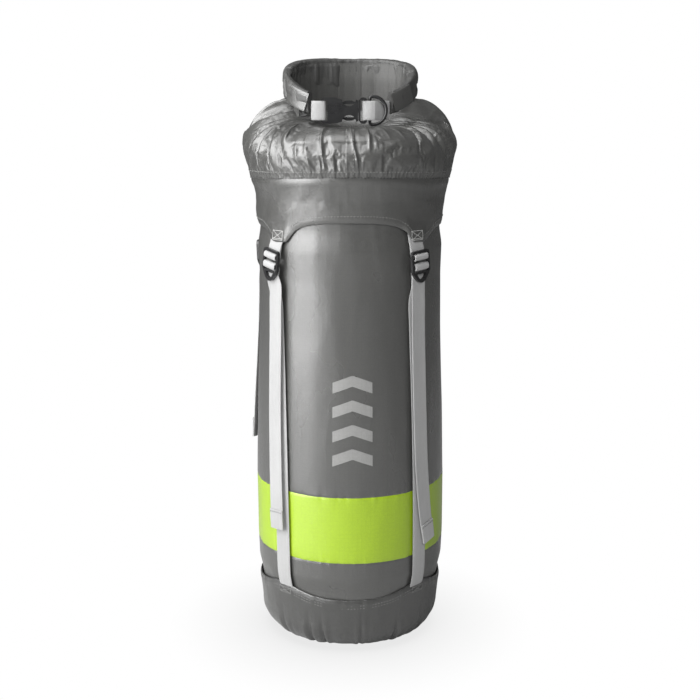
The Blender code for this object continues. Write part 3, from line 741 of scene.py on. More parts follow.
def build_skirt():
    azimuth = AROUND
    hem, seam = cap_hem(azimuth), cap_seam(azimuth)
    rows, lengths = [], []
    steps = 40
    for k in range(steps + 1):
        t = k / steps
        z = hem + (seam - hem) * t
        r = skirt_radius(azimuth, z, t) - 0.0006 * ease(0.08, 0.0, t)
        close = ease(0.80, 1.0, t)
        r = r * (1 - close) + SEAM_RADIUS * close - 0.0002 * ease(0.95, 1.0, t)
        rows.append(on_sack(azimuth, r, z))
        lengths.append(0.05 * t)
    edge = rows[0]
    under = []
    for inward, rise in ((0.0019, 0.0060), (0.0016, 0.0010), (0.0011, -0.0002), (0.0005, -0.0004)):
        under.append(edge - on_sack(azimuth, inward, -rise + 0 * azimuth))
    rows = under + rows
    lengths = [-0.006, -0.003, -0.001, -0.0005] + lengths
    uv = cloth_uv(azimuth * CLOTH_RADIUS, lengths)
    obj = grid_object("cap_skirt_cloth", np.stack(rows), uv, GREY)
    dress(obj, "cap", "grey_fabric", "cap_skirt")
    around = np.linspace(0, 2 * pi, 900)
    z = cap_hem(around) + 0.0068
    t = (z - cap_hem(around)) / (cap_seam(around) - cap_hem(around))
    path = on_sack(around, skirt_radius(around, z, t) + 0.0002, z)
    row = stitch_row("cap_hem_stitches", path, on_sack(around, 1.0, 0.0), THREAD)
    dress(row, "cap", "grey_fabric")
    for name in STRAPS:
        tab = radians(STRAPS[name][1])
        low = float(cap_hem(np.array([tab]))[0]) + 0.0022
        box_stitches(f"tab_box_{name}", "cap", tab, skirt_surface, low, low + 0.0090, LIGHT_THREAD)


# angle at the neck, angle at the seam, height, half width, start and end along the shoulder
SHARP_CREASES = [
    (-17.0, -13.2, 0.0019, 0.0011, 0.06, 0.66),
    (0.6, 4.4, 0.0017, 0.0010, 0.04, 0.74),
    (10.8, 9.6, 0.0019, 0.0011, 0.30, 0.74),
    (-39.0, -35.0, 0.0036, 0.0022, 0.42, 0.90),
    (-9.0, -8.2, 0.0011, 0.0008, 0.01, 0.20),
    (-16.0, -15.6, 0.0009, 0.0008, 0.01, 0.16),
    (-26.0, -21.0, 0.0016, 0.0034, 0.04, 0.46),
    (-31.0, -27.5, 0.0012, 0.0024, 0.10, 0.40),
    (22.0, 26.0, 0.0008, 0.0018, 0.46, 0.80),
    (31.0, 36.0, 0.0012, 0.0016, 0.44, 0.84),
]
PLEATS = [
    (-47.0, -37.0, 0.0026, 0.0034, 0.32, 0.86),
    (-53.0, -48.0, 0.0044, 0.0036, 0.24, 0.95),
    (-59.0, -59.0, 0.0046, 0.0040, 0.20, 0.95),
    (-65.0, -71.0, 0.0042, 0.0044, 0.24, 0.95),
    (-73.0, -86.0, 0.0038, 0.0048, 0.16, 0.95),
    (-84.0, -103.0, 0.0034, 0.0050, 0.10, 0.90),
    (46.0, 38.0, 0.0022, 0.0034, 0.42, 0.86),
    (54.0, 50.0, 0.0038, 0.0038, 0.34, 0.95),
    (60.0, 61.0, 0.0044, 0.0040, 0.26, 0.95),
    (67.0, 73.0, 0.0040, 0.0044, 0.20, 0.95),
    (76.0, 88.0, 0.0036, 0.0048, 0.22, 0.95),
    (87.0, 104.0, 0.0032, 0.0050, 0.12, 0.90),
]


def back_pleats():
    """Pleats across the back of the shoulder, unevenly spaced."""
    rng = np.random.default_rng(7)
    folds = []
    angle = 104.0
    while angle < 258.0:
        folds.append(
            (
                angle,
                angle + rng.uniform(-6, 6),
                0.0030 * (1 + 0.4 * rng.uniform(-1, 1)),
                0.0042 * (1 + 0.4 * rng.uniform(-1, 1)),
                rng.uniform(0.10, 0.40),
                0.95,
            )
        )
        angle += 9.0 + rng.uniform(0, 8.0)
    return folds


def shoulder_point(station, azimuth):
    """A smooth point of the shoulder: station from 0 at the seam to 8 at the neck."""
    # flatter at the right, where the ring swings and slides past
    front = np.maximum(0.0, np.cos(azimuth)) ** (0.45 - 0.27 * ease(0.0, 0.3, np.sin(azimuth)))
    back = np.maximum(0.0, -np.cos(azimuth)) ** 1.2
    side = 1.0 - front - back
    radius, z = 0.0, 0.0
    for share, rows in ((front, SHOULDER_FRONT), (side, SHOULDER_SIDE), (back, SHOULDER_BACK)):
        at = list(range(len(rows)))
        radius = radius + share * smooth_table(list(zip(at, [r[0] for r in rows])), station, 0.75)
        z = z + share * smooth_table(list(zip(at, [r[1] for r in rows])), station, 0.75)
    return radius, z


def settle(points, pins, frames, growth, pressure):
    """Cloth simulation of a closed grid. pins holds each row's hold on its place, from 0 to 1.
    The cloth is cut larger than the shape by growth, so that it gathers into folds."""
    rows, columns = points.shape[:2]
    uv = np.zeros((rows, columns, 2))
    obj = grid_object("settling_cloth", points, uv, GREY)
    group = obj.vertex_groups.new(name="hold")
    for row, hold in enumerate(pins):
        group.add(list(range(row * columns, (row + 1) * columns)), float(hold), "REPLACE")
    cloth = obj.modifiers.new("cloth", "CLOTH")
    cloth.settings.quality = 8
    cloth.settings.mass = 0.04
    cloth.settings.tension_stiffness = 18.0
    cloth.settings.compression_stiffness = 18.0
    cloth.settings.shear_stiffness = 6.0
    cloth.settings.bending_stiffness = 0.6
    cloth.settings.vertex_group_mass = "hold"
    cloth.settings.pin_stiffness = 1.0
    cloth.settings.shrink_min = -growth
    cloth.settings.use_pressure = True
    cloth.settings.uniform_pressure_force = pressure
    cloth.settings.effector_weights.gravity = 0.0
    cloth.collision_settings.use_collision = False
    cloth.point_cache.frame_start = 1
    cloth.point_cache.frame_end = frames
    for frame_number in range(1, frames + 1):
        bpy.context.scene.frame_set(frame_number)
    evaluated = obj.evaluated_get(bpy.context.evaluated_depsgraph_get())
    settled = np.empty(rows * columns * 3, np.float32)
    evaluated.data.vertices.foreach_get("co", settled)
    mesh = obj.data
    bpy.data.objects.remove(obj)
    bpy.data.meshes.remove(mesh)
    bpy.context.scene.frame_set(1)
    return settled.reshape(rows, columns, 3).astype(float)


def finer(points, factor):
    """A closed grid with factor times as many columns and row steps, along smooth curves."""
    for axis, loop in ((1, True), (0, False)):
        count = points.shape[axis]
        at = np.arange(count * factor if loop else (count - 1) * factor + 1) / factor
        i = np.floor(at).astype(int)
        t = (at - i).reshape((-1, 1, 1) if axis == 0 else (1, -1, 1))
        near = []
        for shift in (-1, 0, 1, 2):
            index = (i + shift) % count if loop else np.clip(i + shift, 0, count - 1)
            near.append(np.take(points, index, axis=axis))
        a, b, c, d = near
        points = b + 0.5 * t * (c - a + t * (2 * a - 5 * b + 4 * c - d + t * (3 * (b - c) + d - a)))
    return points


def add_folds(push, folds, az, share, radius):
    """Adds the raised creases in folds: each a thin crest with a shallow dip beside it."""
    for neck, foot, height, width, start, end in folds:
        line = radians(foot) + radians(neck - foot) * ease(0.0, 0.6, share)
        off = turned(az, line) * np.maximum(radius, 0.02)
        shape = np.exp(-np.abs(off) / width) - 0.35 * bump(off - 3.2 * width, 2.0 * width)
        push += height * shape * ease(start - 0.06, start + 0.10, share) * ease(end + 0.10, end - 0.10, share)


def add_pleats(push, pleats, az, share, radius):
    """Adds pleats: each a sharp valley with a full roll of cloth beside it."""
    for neck, foot, depth, width, start, end in pleats:
        line = radians(foot) + radians(neck - foot) * ease(0.10, 0.75, share)
        off = turned(az, line) * np.maximum(radius, 0.02)
        grow = width * (1.35 - 0.5 * share)
        shape = 0.62 * bump(off - 1.15 * grow, grow) - np.exp(-np.abs(off) / (0.72 * grow))
        push += depth * shape * ease(start - 0.14, start + 0.20, share) * ease(end + 0.10, end - 0.10, share)


def shoulder_cloth():
    """The shoulder between seam and neck, settled into loose folds: (points, levels, azimuths)."""
    azimuth = AROUND
    seam = cap_seam(azimuth)
    low_radius, low_z = shoulder_point(0.0, azimuth)
    levels = np.concatenate([np.linspace(0, 1, 7)[:-1], np.linspace(1, 8, 46)])
    rows = []
    for level in levels:
        radius, z = shoulder_point(level, azimuth)
        z = z + (seam - low_z) * ease(1.6, 0.0, level)
        radius = radius + (SEAM_RADIUS - 0.0001 - low_radius) * ease(2.0, 0.0, level)
        rows.append(on_sack(azimuth, radius, z))
    points = np.stack(rows)
    share = (levels / 8.0)[:, None]
    az = azimuth[None, :]
    radius = np.linalg.norm(points[..., :2], axis=-1)
    push = np.zeros(radius.shape)
    add_pleats(push, PLEATS + back_pleats(), az, share, radius)
    push += 0.0014 * lattice(az / (2 * pi), share * 0.5, 13, 7, 201) * np.sin(pi * np.clip(share * 1.6, 0, 1))
    limit = np.interp(radius, [0.03, 0.05], [0.3, 1.0])
    points = points + grid_normals(points) * (push * limit)[..., None]
    held = [1.0, 1.0, SHOULDER_HOLD, SHOULDER_HOLD, 0.6, 1.0]
    hold = np.interp(levels / 8.0, [0.0, 0.02, 0.06, 0.80, 0.92, 1.0], held)
    points = settle(points, hold, SHOULDER_FRAMES, SHOULDER_GROWTH, SHOULDER_PRESSURE)
    points = finer(points, 2)
    levels = np.interp(np.arange(points.shape[0]) / 2, np.arange(len(levels)), levels)
    return points, levels, np.arange(COLUMNS * 2) * (pi / COLUMNS)


def build_shoulder():
    points, levels, azimuth = shoulder_cloth()
    normal = grid_normals(points)
    share = (levels / 8.0)[:, None]
    az = azimuth[None, :]
    radius = np.linalg.norm(points[..., :2], axis=-1)
    push = np.zeros(radius.shape)
    add_folds(push, SHARP_CREASES, az, share, radius)
    u, v = az / (2 * pi), share * 0.5
    push += 0.0005 * creases(u, v, 24, 6, 213) * ease(0.05, 0.3, share)
    near_seam = np.exp(-share / 0.045)
    push += 0.0012 * near_seam * lattice(u, v * 0 + 0.2, 130, 3, 221) * ease(0.0, 0.02, share)
    push += 0.0008 * np.exp(-share / 0.10) * creases(u, v, 60, 6, 231)
    push *= ease(-0.004, 0.012, share)
    # the felled seam down the front
    push += (np.abs(turned(az, 0.0)) * radius < 0.0036) * 0.00035
    limit = np.interp(radius, [0.03, 0.05], [0.3, 1.0])
    points = points + normal * (push * limit)[..., None]
    tip = np.zeros((1, points.shape[1], 3))
    tip[..., 2] = THROAT_Z
    wall, floor = points[-1:] * 1.0, points[-1:] * 0.5
    wall[..., :2] *= 0.93
    wall[..., 2] = THROAT_Z + 0.30 * (points[-1:, :, 2] - THROAT_Z)
    floor[..., 2] = THROAT_Z
    points = np.concatenate([points, wall, floor, tip], axis=0)
    length = np.concatenate([levels / 8 * 0.11, [0.13, 0.15, 0.17]])
    uv = cloth_uv(azimuth * CLOTH_RADIUS, length)
    obj = grid_object("cap_shoulder_cloth", points, uv, GREY)
    dress(obj, "cap", "grey_fabric", "cap_shoulder")
    front = np.where(np.abs(turned(azimuth, 0.0)) < 0.9)[0]
    for number, x in enumerate((-0.0031, 0.0031)):
        path, normals = [], []
        for row in range(4, 62):
            ring = points[row]
            k = front[np.argmin(np.abs(ring[front, 0] - x) + (ring[front, 1] > 0) * 1.0)]
            path.append(ring[k] + normal[row, k] * 0.0003)
            normals.append(normal[row, k])
        row = stitch_row(f"front_seam_stitches_{number}", path, normals, THREAD)
        dress(row, "cap", "grey_fabric")
    around = np.linspace(0, 2 * pi, 900)
    normals = on_sack(around, 1.0, 0.0)
    # the row by the seam is near-black thread as painted shade for the stitches' shadows; the row above is
    # grey thread
    for number, (level, thread) in enumerate(((1, DARK_THREAD_AND_STITCH_SHADOW), (7, THREAD))):
        ring = points[level]
        radius = np.interp(around, azimuth, np.linalg.norm(ring[:, :2], axis=1), period=2 * pi)
        z = np.interp(around, azimuth, ring[:, 2], period=2 * pi)
        path = on_sack(around, radius + 0.0002, z)
        dress(stitch_row(f"cap_seam_stitches_{number}", path, normals, thread), "cap", "grey_fabric")


# ---------------------------------------------------------------- rolled closure


def roll_centre(azimuth):
    y = -ROLL_HALF_DEPTH * np.cos(azimuth)
    share = y / ROLL_HALF_DEPTH
    rise = (ROLL_Z_BACK - ROLL_Z_FRONT) / 2 * share
    bow = (ROLL_Z_SIDE - (ROLL_Z_BACK + ROLL_Z_FRONT) / 2) * (1 - share**2)
    z = (ROLL_Z_BACK + ROLL_Z_FRONT) / 2 + rise + bow
    return np.stack([ROLL_HALF_WIDTH * np.sin(azimuth), y, z], axis=-1)


def roll_frame(azimuth):
    """Centre points and outward unit vectors along the roll."""
    centre = roll_centre(azimuth)
    ahead = roll_centre(azimuth + 0.01) - roll_centre(azimuth - 0.01)
    outward = np.cross(ahead, np.array([0.0, 0.0, 1.0]))
    outward /= np.linalg.norm(outward, axis=-1, keepdims=True)
    return centre, outward


def roll_height(azimuth):
    share = (1 - np.cos(azimuth)) / 2
    return ROLL_HEIGHT_FRONT + (ROLL_HEIGHT_BACK - ROLL_HEIGHT_FRONT) * share


def roll_surface(azimuth, turn):
    """A point of the rolled band: azimuth along it, turn round its section from 0 to 1.
    The section is a flat oblong whose outer face shows the overlapping turns of cloth."""
    centre, outward = roll_frame(azimuth)
    half_height = roll_height(azimuth) / 2
    half_thick = ROLL_THICK / 2
    angle = 2 * pi * turn
    c, s = np.cos(angle), np.sin(angle)
    up = half_height * np.sign(s) * np.abs(s) ** 0.62
    out = half_thick * np.sign(c) * np.abs(c) ** 0.55
    u = azimuth / (2 * pi)
    # the free edge of each turn, lengthwise along the outer face and the inner face
    step = 0.0011 * ease(0.02, 0.10, c) * ease(0.10, 0.16, up / half_height * 0.5 + 0.5 - 0.28)
    step = step - 0.0009 * ease(-0.02, -0.10, c) * bump(up / half_height - 0.72, 0.10)
    side = np.abs(np.sin(azimuth))
    folds = 0.0015 * (0.5 + side) * (0.25 + 0.75 * np.abs(c)) * creases(u + 0.03 * turn, turn, 34, 4, 301, 2)
    folds = folds + 0.0007 * lattice(u, turn, 80, 6, 311)
    # a deep tuck where the band bends round at each side
    for corner, depth in ((-92, 0.0034), (-74, 0.0018), (88, 0.0030), (68, 0.0016)):
        folds = folds - depth * bump(turned(azimuth, radians(corner)) * 0.06 + 0.30 * up, 0.0034)
    folds = folds + 0.0016 * lattice(u, turn, 14, 3, 321)
    swell = step + folds
    limit = np.clip(swell, -0.0032, 0.0022)
    out = out + limit * c
    up = up + limit * s * 0.5
    return centre + outward * out[..., None] + np.stack([0 * up, 0 * up, up], axis=-1)


def roll_piece(name, low, high, count, closed_ends):
    azimuth = np.radians(np.linspace(low, high, count))
    turn = np.arange(56) / 56
    az, tt = np.meshgrid(azimuth, turn, indexing="ij")
    points = roll_surface(az, tt)
    if closed_ends:
        for end in (0, -1):
            middle = points[end].mean(axis=0)
            cap = [middle + (points[end] - middle) * k for k in (0.92, 0.6, 0.25, 0.02)]
            cap = np.stack(cap[::-1] if end == 0 else cap)
            points = np.concatenate([cap, points] if end == 0 else [points, cap])
    rows = points.shape[0]
    uv = cloth_uv(turn * 0.075, np.linspace(0, 0.0009 * rows * 1.2, rows))
    return grid_object(name, points, uv, ROLLED_PAINTED_SHADE)


def build_collar():
    """The cloth that rises from the neck into the roll, flush with the roll's inner face."""
    azimuth = np.radians(np.linspace(ROLL_JOINT_ANGLE, 360 - ROLL_TIP_ANGLE - 23, 400))
    centre, outward = roll_frame(azimuth)
    u = azimuth / (2 * pi)
    back = (1 - np.cos(azimuth)) / 2
    share = np.linspace(0, 1, 30)
    rows = []
    for t in share:
        top = centre[:, 2] + roll_height(azimuth) * 0.36
        bottom = 0.541 + 0.016 * back
        z = bottom + (top - bottom) * t
        wave = 0.0008 * creases(u, t * 0.08 + 0.2, 38, 4, 401, 2) * (1 - 0.6 * t)
        inward = 0.0056 - 0.0016 * ease(0.6, 1.0, t) - wave
        xy = centre[:, :2] - outward[:, :2] * inward[:, None]
        rows.append(np.concatenate([xy, z[:, None]], axis=1))
    points = np.stack(rows)
    uv = cloth_uv(azimuth * 0.055, share * 0.03)
    obj = grid_object("neck_collar_cloth", points, uv, LINING, closed=False)
    dress(obj, "cap", "grey_fabric")


def face_outwards(obj):
    shape = bmesh.new()
    shape.from_mesh(obj.data)
    bmesh.ops.recalc_face_normals(shape, faces=shape.faces)
    shape.to_mesh(obj.data)
    shape.free()


def stretch_arm(obj, slot, *nodes):
    """The right arm, joined to the back of the roll, with its free end at the buckle."""
    span = [tuple(roll_centre(np.array([radians(a)]))[0]) for a in (ROLL_JOINT_ANGLE, STRETCH_END_ANGLE)]
    join(obj, "cap", "closure_end", span, slot, *nodes)


def build_roll():
    tip, split = ROLL_TIP_ANGLE, ROLL_JOINT_ANGLE
    left = roll_piece("roll_cloth_left", -split, -tip, 90, True)
    dress(left, "cap", "grey_fabric", "roll_left_arm")
    back = roll_piece("roll_cloth_back", split, 360 - split, 230, False)
    dress(back, "cap", "grey_fabric", "roll_back")
    right = roll_piece("roll_cloth_right", tip, split, 90, True)
    for obj in (left, back, right):
        face_outwards(obj)
    stretch_arm(right, "grey_fabric", "roll_right_arm")
    # the felled seam up the inside of the back
    for number, x in enumerate((-0.0005, 0.0068)):
        azimuth = pi - asin(x / ROLL_HALF_WIDTH)
        turn = np.linspace(0.30, 0.70, 60)
        path = roll_surface(np.full(60, azimuth), turn)
        normal = np.tile(np.array([0.0, -1.0, 0.0]), (60, 1))
        row = stitch_row(f"mouth_seam_stitches_{number}", path + normal * 0.0002, normal, DARK_THREAD_AND_STITCH_SHADOW)
        dress(row, "cap", "grey_fabric")


# ---------------------------------------------------------------- webbing


def between(p, q, start, end, at):
    """The point on the line through p and q, which it passes at start and end."""
    return p * (end - at) / (end - start) + q * (at - start) / (end - start)


def rounded_route(points, spacing):
    """A smooth line through the points (centripetal Catmull-Rom), evenly spaced."""
    points = np.asarray(points, float)
    first = 2 * points[0] - points[1]
    last = 2 * points[-1] - points[-2]
    padded = np.vstack([first, points, last])
    line = []
    for i in range(1, len(padded) - 2):
        p0, p1, p2, p3 = padded[i - 1 : i + 3]
        knots = [0.0]
        for a, b in ((p0, p1), (p1, p2), (p2, p3)):
            knots.append(knots[-1] + max(np.linalg.norm(b[:3] - a[:3]), 1e-6) ** 0.5)
        for t in np.linspace(knots[1], knots[2], 14, endpoint=False):
            a1 = between(p0, p1, knots[0], knots[1], t)
            a2 = between(p1, p2, knots[1], knots[2], t)
            a3 = between(p2, p3, knots[2], knots[3], t)
            b1 = between(a1, a2, knots[0], knots[2], t)
            b2 = between(a2, a3, knots[1], knots[3], t)
            line.append(between(b1, b2, knots[1], knots[2], t))
    line.append(points[-1])
    line = np.array(line)
    steps = np.linalg.norm(np.diff(line[:, :3], axis=0), axis=1)
    at = np.concatenate([[0.0], np.cumsum(steps)])
    count = max(4, int(at[-1] / spacing))
    where = np.linspace(0, at[-1], count + 1)
    return np.stack([np.interp(where, at, line[:, k]) for k in range(line.shape[1])], axis=1), where


def webbing_strip(name, route, spacing=0.0012, material=None):
    """Flat webbing with rounded edges and closed ends. Each route row holds a point, its unit across
    direction and how far the strip's edges are bent back: (x, y, z, ax, ay, az, crown)."""
    line, along = rounded_route(route, spacing)
    centre, across = line[:, :3], line[:, 3:6]
    across = across / np.linalg.norm(across, axis=1, keepdims=True)
    ahead = np.gradient(centre, axis=0)
    ahead /= np.maximum(np.linalg.norm(ahead, axis=1, keepdims=True), 1e-12)
    normal = np.cross(across, ahead)
    normal /= np.maximum(np.linalg.norm(normal, axis=1, keepdims=True), 1e-12)
    curve = line[:, 6]
    w, t = WEB_WIDTH / 2, WEB_THICK / 2
    section = []
    for x in np.linspace(-1, 1, 11):
        section.append((x * (w - t * 0.5), t * (1 - 0.25 * abs(x) ** 6)))
    section.append((w, t * 0.35))
    section.append((w, -t * 0.35))
    for x in np.linspace(1, -1, 11):
        section.append((x * (w - t * 0.5), -t * (1 - 0.25 * abs(x) ** 6)))
    section.append((-w, -t * 0.35))
    section.append((-w, t * 0.35))
    section = np.array(section)
    rows = []
    for k in range(len(line)):
        sag = curve[k] * (section[:, 0] / w) ** 2
        rows.append(
            centre[k] + section[:, :1] * across[k] + (section[:, 1] - sag)[:, None] * normal[k]
        )
    points = np.stack(rows)
    first, last = points[0].mean(axis=0), points[-1].mean(axis=0)
    start = [first + (points[0] - first) * k for k in (0.02, 0.97)]
    finish = [last + (points[-1] - last) * k for k in (0.97, 0.02)]
    points = np.concatenate([start, points, finish])
    along = np.concatenate([[along[0]] * 2, along, [along[-1]] * 2])
    obj = grid_object(name, points, cloth_uv(section[:, 0], along), material or WEBBING)
    face_outwards(obj)
    obj.data.set_sharp_from_angle(angle=radians(70))
    return obj


def lock_frame(azimuth, lean):
    radius = float(cad_body_radius(0.40)) + LOCK_STANDOFF
    place = Vector((radius * sin(azimuth), -radius * cos(azimuth), LOCK_BAR_Z))
    turn = Matrix.Rotation(azimuth, 4, "Z") @ Matrix.Rotation(lean, 4, "Y")
    return Matrix.Translation(place) @ turn


def lock_row(place, inward, up, crown=0.0):
    p = place @ Vector((0.0, inward, up))
    side = place.to_3x3() @ Vector((1, 0, 0))
    return (*p, *side, crown)


def round_row(azimuth, radius, z, crown=None, lean=0.0):
    """A webbing row that lies round the sack, leaning by an angle; its edges are bent back to follow it."""
    p = (radius * sin(azimuth), -radius * cos(azimuth), z)
    side = (cos(azimuth) * cos(lean), sin(azimuth) * cos(lean), sin(lean))
    return (*p, *side, (WEB_WIDTH / 2) ** 2 / (2 * radius) if crown is None else crown)


def build_straps():
    for name, (foot, tab, bar, top, end, end_z, lean) in STRAPS.items():
        place = lock_frame(radians(bar), radians(lean))
        foot, tab, bar_angle, top, end = (radians(a) for a in (foot, tab, bar, top, end))
        # the tab, out from under the cap's hem, over the lock's first bar and back up
        route = [round_row(tab, cad_body_radius(z) + 0.0016, z) for z in (0.4530, 0.4405)]
        for inward, up in (
            (0.0050, 0.0150), (0.0034, 0.0085), (0.0025, 0.0042), (0.0018, 0.0031),
            (0.0008, 0.0027), (-0.0014, 0.0026), (-0.0024, 0.0017), (-0.0024, -0.0017),
            (-0.0014, -0.0026), (0.0014, -0.0026), (0.0030, -0.0022), (0.0040, -0.0008),
            (0.0040, 0.0040), (0.0043, 0.0110),
        ):
            route.append(lock_row(place, inward, up))
        strip = webbing_strip(f"tab_webbing_{name}", route, 0.0008)
        join(strip, "cap", f"lock_{name}", (route[2][:3], route[5][:3]), "webbing", f"strap_tab_{name}")
        # the standing strap, from under the base hem up into the lock
        low, high = STRAP_LOW_Z, STRAP_HIGH_Z
        route = []
        for k in range(13):
            z = low + (high - low) * k / 12
            a = foot + (bar_angle - foot) * (k / 12) ** 2
            route.append(round_row(a, float(cad_body_radius(z)) + 0.0010, z))
        for inward, up in (
            (0.0046, -0.0280), (0.0041, -0.0127), (0.0036, -0.0093), (0.0025, -0.0076),
            (0.0012, -0.0070),
        ):
            route.append(lock_row(place, inward, up))
        strip = webbing_strip(f"standing_webbing_{name}", route)
        dress(strip, "sack", "webbing", f"strap_{name}")
        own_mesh(strip)
        build_tail(name, place, top, end, end_z, 5.0 if name == "front_right" else 2.0)


def build_tail(name, place, top, end, end_z, bend):
    """The loose end: over the lock's second bar, down in front, and folded over and sewn at its tip."""
    route = []
    for inward, up in (
        (0.0, -0.0069), (-0.0014, -0.0069), (-0.0024, -0.0078), (-0.0024, -0.0118),
        (-0.0014, -0.0127), (0.0012, -0.0128), (0.0023, -0.0139), (0.0025, -0.0162),
    ):
        route.append(lock_row(place, inward, up))
    start_z = LOCK_BAR_Z - 0.0290
    lip = float(cad_body_radius(0.40)) + LOCK_STANDOFF - 0.0026
    route.append(round_row(top, lip, start_z))
    count = 10
    tail = []
    for k in range(1, count + 1):
        z = start_z - 0.020 - (start_z - 0.020 - end_z) * (k - 1) / (count - 1)
        share = (start_z - z) / (start_z - end_z)
        azimuth = top + (end - top) * share**bend
        radius = float(table(SACK_OUTLINE, z)) + 0.0042 + 0.0008 * share
        lean = (end - top) * bend * share ** (bend - 1) * radius / (start_z - end_z)
        route.append(round_row(azimuth, radius, z, 0.0003, lean))
        tail.append((azimuth, radius, z))
    strip = webbing_strip(f"tail_webbing_{name}", route)
    held = (lock_row(place, 0.0, -0.0180)[:3], lock_row(place, 0.0, -0.0480)[:3])
    join(strip, f"lock_{name}", "cap", held, "webbing", f"strap_tail_{name}")
    # the turned and sewn tip
    azimuth, radius, z = tail[-1]
    before = tail[-2]
    fold = []
    for k in range(5):
        t = k / 4
        zz = z + 0.0205 * t
        share = (zz - z) / (before[2] - z)
        fold.append(
            round_row(
                azimuth + (before[0] - azimuth) * share,
                radius + (before[1] - radius) * share + 0.00135 + 0.0004 * t,
                zz,
                0.0003,
                lean,
            )
        )
    flap = webbing_strip(f"tail_fold_{name}", fold)
    dress(flap, "cap", "webbing")
    normal = np.tile([sin(azimuth), -cos(azimuth), 0.0], (12, 1))
    across = np.linspace(-0.009, 0.009, 12)[:, None] * np.array(fold[4][3:6])
    path = np.array(fold[4][:3]) + across + np.array([0, 0, -0.0022]) + normal * 0.0008
    row = stitch_row(f"tail_stitches_{name}", path, normal, DARK_THREAD_AND_STITCH_SHADOW, 0.0026, 0.0019, 0.0005)
    dress(row, "cap", "webbing")


def closure_route(side, approach, bar_x, slot_x):
    behind, front = BUCKLE_Y + 0.0031, BUCKLE_Y - 0.0031
    route = approach + [
        (bar_x + side * 0.0050, behind + 0.0003), (bar_x, behind),
        (slot_x + side * 0.0004, behind - 0.0008), (slot_x, BUCKLE_Y),
        (slot_x + side * 0.0004, front + 0.0008), (bar_x, front), (bar_x + side * 0.0050, front),
        (bar_x + side * 0.0090, front + 0.0010),
    ]
    return [(x, y, BUCKLE_Z, 0.0, 0.0, 1.0, 0.0) for x, y in route]


def build_closure_webbing():
    left = closure_route(
        -1, [(-0.0385, -0.0358), (-0.0372, -0.0410), (-0.0355, -0.0455)], -0.0280, -0.0245
    )
    strip = webbing_strip("closure_webbing_left", left, 0.0006)
    dress(strip, "cap", "webbing", "webbing_left")
    right = closure_route(
        1, [(0.0390, -0.0358), (0.0345, -0.0412), (0.0270, -0.0468)], 0.0155, 0.0120
    )
    strip = webbing_strip("closure_webbing_right", right, 0.0006)
    dress(strip, "closure_end", "webbing", "webbing_right")
    # webbing sewn over the outside of each arm's end
    for name, side, body in (("left", -1, "cap"), ("right", 1, "closure_end")):
        route = []
        for angle in np.linspace(64, ROLL_TIP_ANGLE + 0.5, 9):
            azimuth = radians(side * angle)
            centre, outward = roll_frame(np.array([azimuth]))
            slope = roll_centre(np.array([azimuth + 0.02])) - roll_centre(np.array([azimuth - 0.02]))
            slope = slope[0] / np.linalg.norm(slope[0])
            across = np.array([0, 0, 1.0]) - slope * slope[2]
            p = centre[0] + outward[0] * (ROLL_THICK / 2 + 0.0012)
            route.append((*p, *(across / np.linalg.norm(across)), 0.0003))
        strip = webbing_strip(f"arm_webbing_{name}", route, 0.0010, GREY)
        dress(strip, body, "grey_fabric")


# ---------------------------------------------------------------- mouldings


def build_mouldings():
    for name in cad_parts:
        if name.startswith("ladder_lock") or name.startswith("buckle") or name.startswith("prong"):
            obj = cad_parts[name]
            obj.data.materials.clear()
            obj.data.materials.append(BLACK)
            edge = obj.modifiers.new("edge", "BEVEL")
            edge.width = 0.00045
            edge.segments = 3
            edge.limit_method = "ANGLE"
            edge.angle_limit = radians(40)
            edge.use_clamp_overlap = True
    build_d_ring()


def build_d_ring():
    half = D_RING_HEIGHT / 2 - D_RING_WIRE
    shoulder = 0.0030
    depth = D_RING_WIDTH - D_RING_WIRE - shoulder
    outline = [(0.0, z) for z in np.linspace(-half + 0.0022, half - 0.0022, 9)]
    outline += [(0.0007, half - 0.0007), (0.0022, half)]
    outline += [
        (shoulder + depth * cos(radians(a)), half * sin(radians(a))) for a in range(90, -91, -6)
    ]
    outline += [(0.0022, -half), (0.0007, -half + 0.0007)]
    outline = np.array(outline)
    count = len(outline)
    ahead = np.roll(outline, -1, axis=0) - np.roll(outline, 1, axis=0)
    ahead /= np.linalg.norm(ahead, axis=1, keepdims=True)
    out = np.stack([ahead[:, 1], -ahead[:, 0]], axis=1)
    verts, faces = [], []
    sides = 20
    for k in range(count):
        for m in range(sides):
            a = 2 * pi * m / sides
            r = D_RING_WIRE
            x = outline[k, 0] + out[k, 0] * r * cos(a)
            z = outline[k, 1] + out[k, 1] * r * cos(a)
            verts.append((D_RING_X + x, BUCKLE_Y + r * sin(a), BUCKLE_Z + z))
            b, n = (k + 1) % count, (m + 1) % sides
            faces.append((k * sides + m, b * sides + m, b * sides + n, k * sides + n))
    ring = mesh_object("d_ring_wire", verts, faces, BLACK, 60)
    face_outwards(ring)
    dress(ring, "d_ring", "ring_plastic", "d_ring")


def build_stiffener():
    """The stiff strip sealed inside the roll."""
    azimuth = np.radians(np.linspace(STIFFENER_END_ANGLE, 360 - STIFFENER_END_ANGLE, 160))
    centre, outward = roll_frame(azimuth)
    rows = []
    for out, up in ((0.0004, -0.0073), (0.0004, 0.0073), (-0.0004, 0.0073), (-0.0004, -0.0073)):
        rows.append(centre + outward * out + np.array([0.0, 0.0, up]))
    points = np.stack(rows, axis=1)
    first, last = (np.tile(points[[k]].mean(axis=1, keepdims=True), (1, 4, 1)) for k in (0, -1))
    points = np.concatenate([first, points, last])
    uv = points[..., [0, 2]].copy()
    strip = grid_object("stiffener_strip", points, uv, STIFF)
    face_outwards(strip)
    stretch_arm(strip, "stiffener_plastic", "closure_stiffener")


# ---------------------------------------------------------------- light and floor


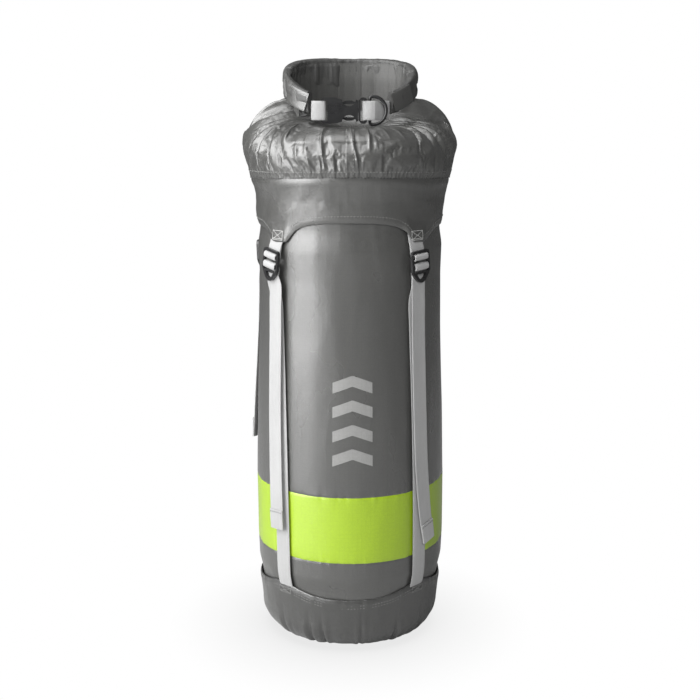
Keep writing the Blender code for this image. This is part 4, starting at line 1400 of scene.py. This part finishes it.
def area_light(name, place, aim, size, power, colour=(1, 1, 1), height=None):
    data = bpy.data.lights.new(name, "AREA")
    data.shape = "RECTANGLE"
    data.size = size
    data.size_y = height or size
    data.energy = power
    data.color = colour
    lamp = linked(name, data)
    lamp.location = place
    lamp.rotation_euler = (Vector(aim) - Vector(place)).to_track_quat("-Z", "Y").to_euler()
    return lamp


def floor_material():
    """Pale paper: glowing pure white to the camera but for a painted shadow, from ambient occlusion, where
    the sack stands on it.
    """
    material, tree, shader = new_material("floor_paper_painted_shadow")
    set_inputs(shader, Base_Color=(0.42, 0.42, 0.42, 1), Roughness=0.9)
    # painted shadow: ambient occlusion darkens the glowing floor round the sack
    shade = tree.nodes.new("ShaderNodeAmbientOcclusion")
    shade.samples = 12
    set_inputs(shade, Distance=0.11)
    tone = mix_colour(
        tree, remap(tree, shade.outputs["AO"], 0.35, 1.0, 0.0, 1.0), (0.80, 0.80, 0.80), (1.0, 1.0, 1.0)
    )
    glow = tree.nodes.new("ShaderNodeEmission")
    tree.links.new(tone, glow.inputs["Color"])
    path = tree.nodes.new("ShaderNodeLightPath")
    mix = tree.nodes.new("ShaderNodeMixShader")
    tree.links.new(path.outputs["Is Camera Ray"], mix.inputs["Fac"])
    tree.links.new(shader.outputs[0], mix.inputs[1])
    tree.links.new(glow.outputs[0], mix.inputs[2])
    tree.links.new(mix.outputs[0], tree.nodes["Material Output"].inputs["Surface"])
    return material


def build_stage():
    verts = [(-8, -6, 0), (8, -6, 0), (8, 8, 0), (-8, 8, 0)]
    floor = mesh_object("floor", verts, [(0, 1, 2, 3)], floor_material())
    world = bpy.data.worlds.new("studio")
    bpy.context.scene.world = world
    world.use_nodes = True
    tree = world.node_tree
    background = tree.nodes["Background"]
    path = tree.nodes.new("ShaderNodeLightPath")
    tone = mix_colour(tree, path.outputs["Is Camera Ray"], (0.13, 0.13, 0.13), (1.0, 1.0, 1.0))
    tree.links.new(tone, background.inputs["Color"])
    background.inputs["Strength"].default_value = 1.0
    area_light("key", (-1.35, -0.80, 0.95), (0, 0, 0.34), 1.20, 72, height=2.3)
    fill = area_light("front", (0.25, -2.3, 1.3), (0, 0, 0.32), 0.9, 34)
    fill.visible_glossy = False
    area_light("top", (-0.45, -0.35, 1.9), (0, 0, 0.45), 1.3, 15)
    bpy.context.scene.view_settings.view_transform = "Standard"
    bpy.context.scene.view_settings.look = "None"


build_camera()
build_base()
build_body()
build_print()
build_skirt()
build_shoulder()
build_roll()
build_collar()
build_closure_webbing()
build_straps()
build_mouldings()
build_stiffener()
build_stage()
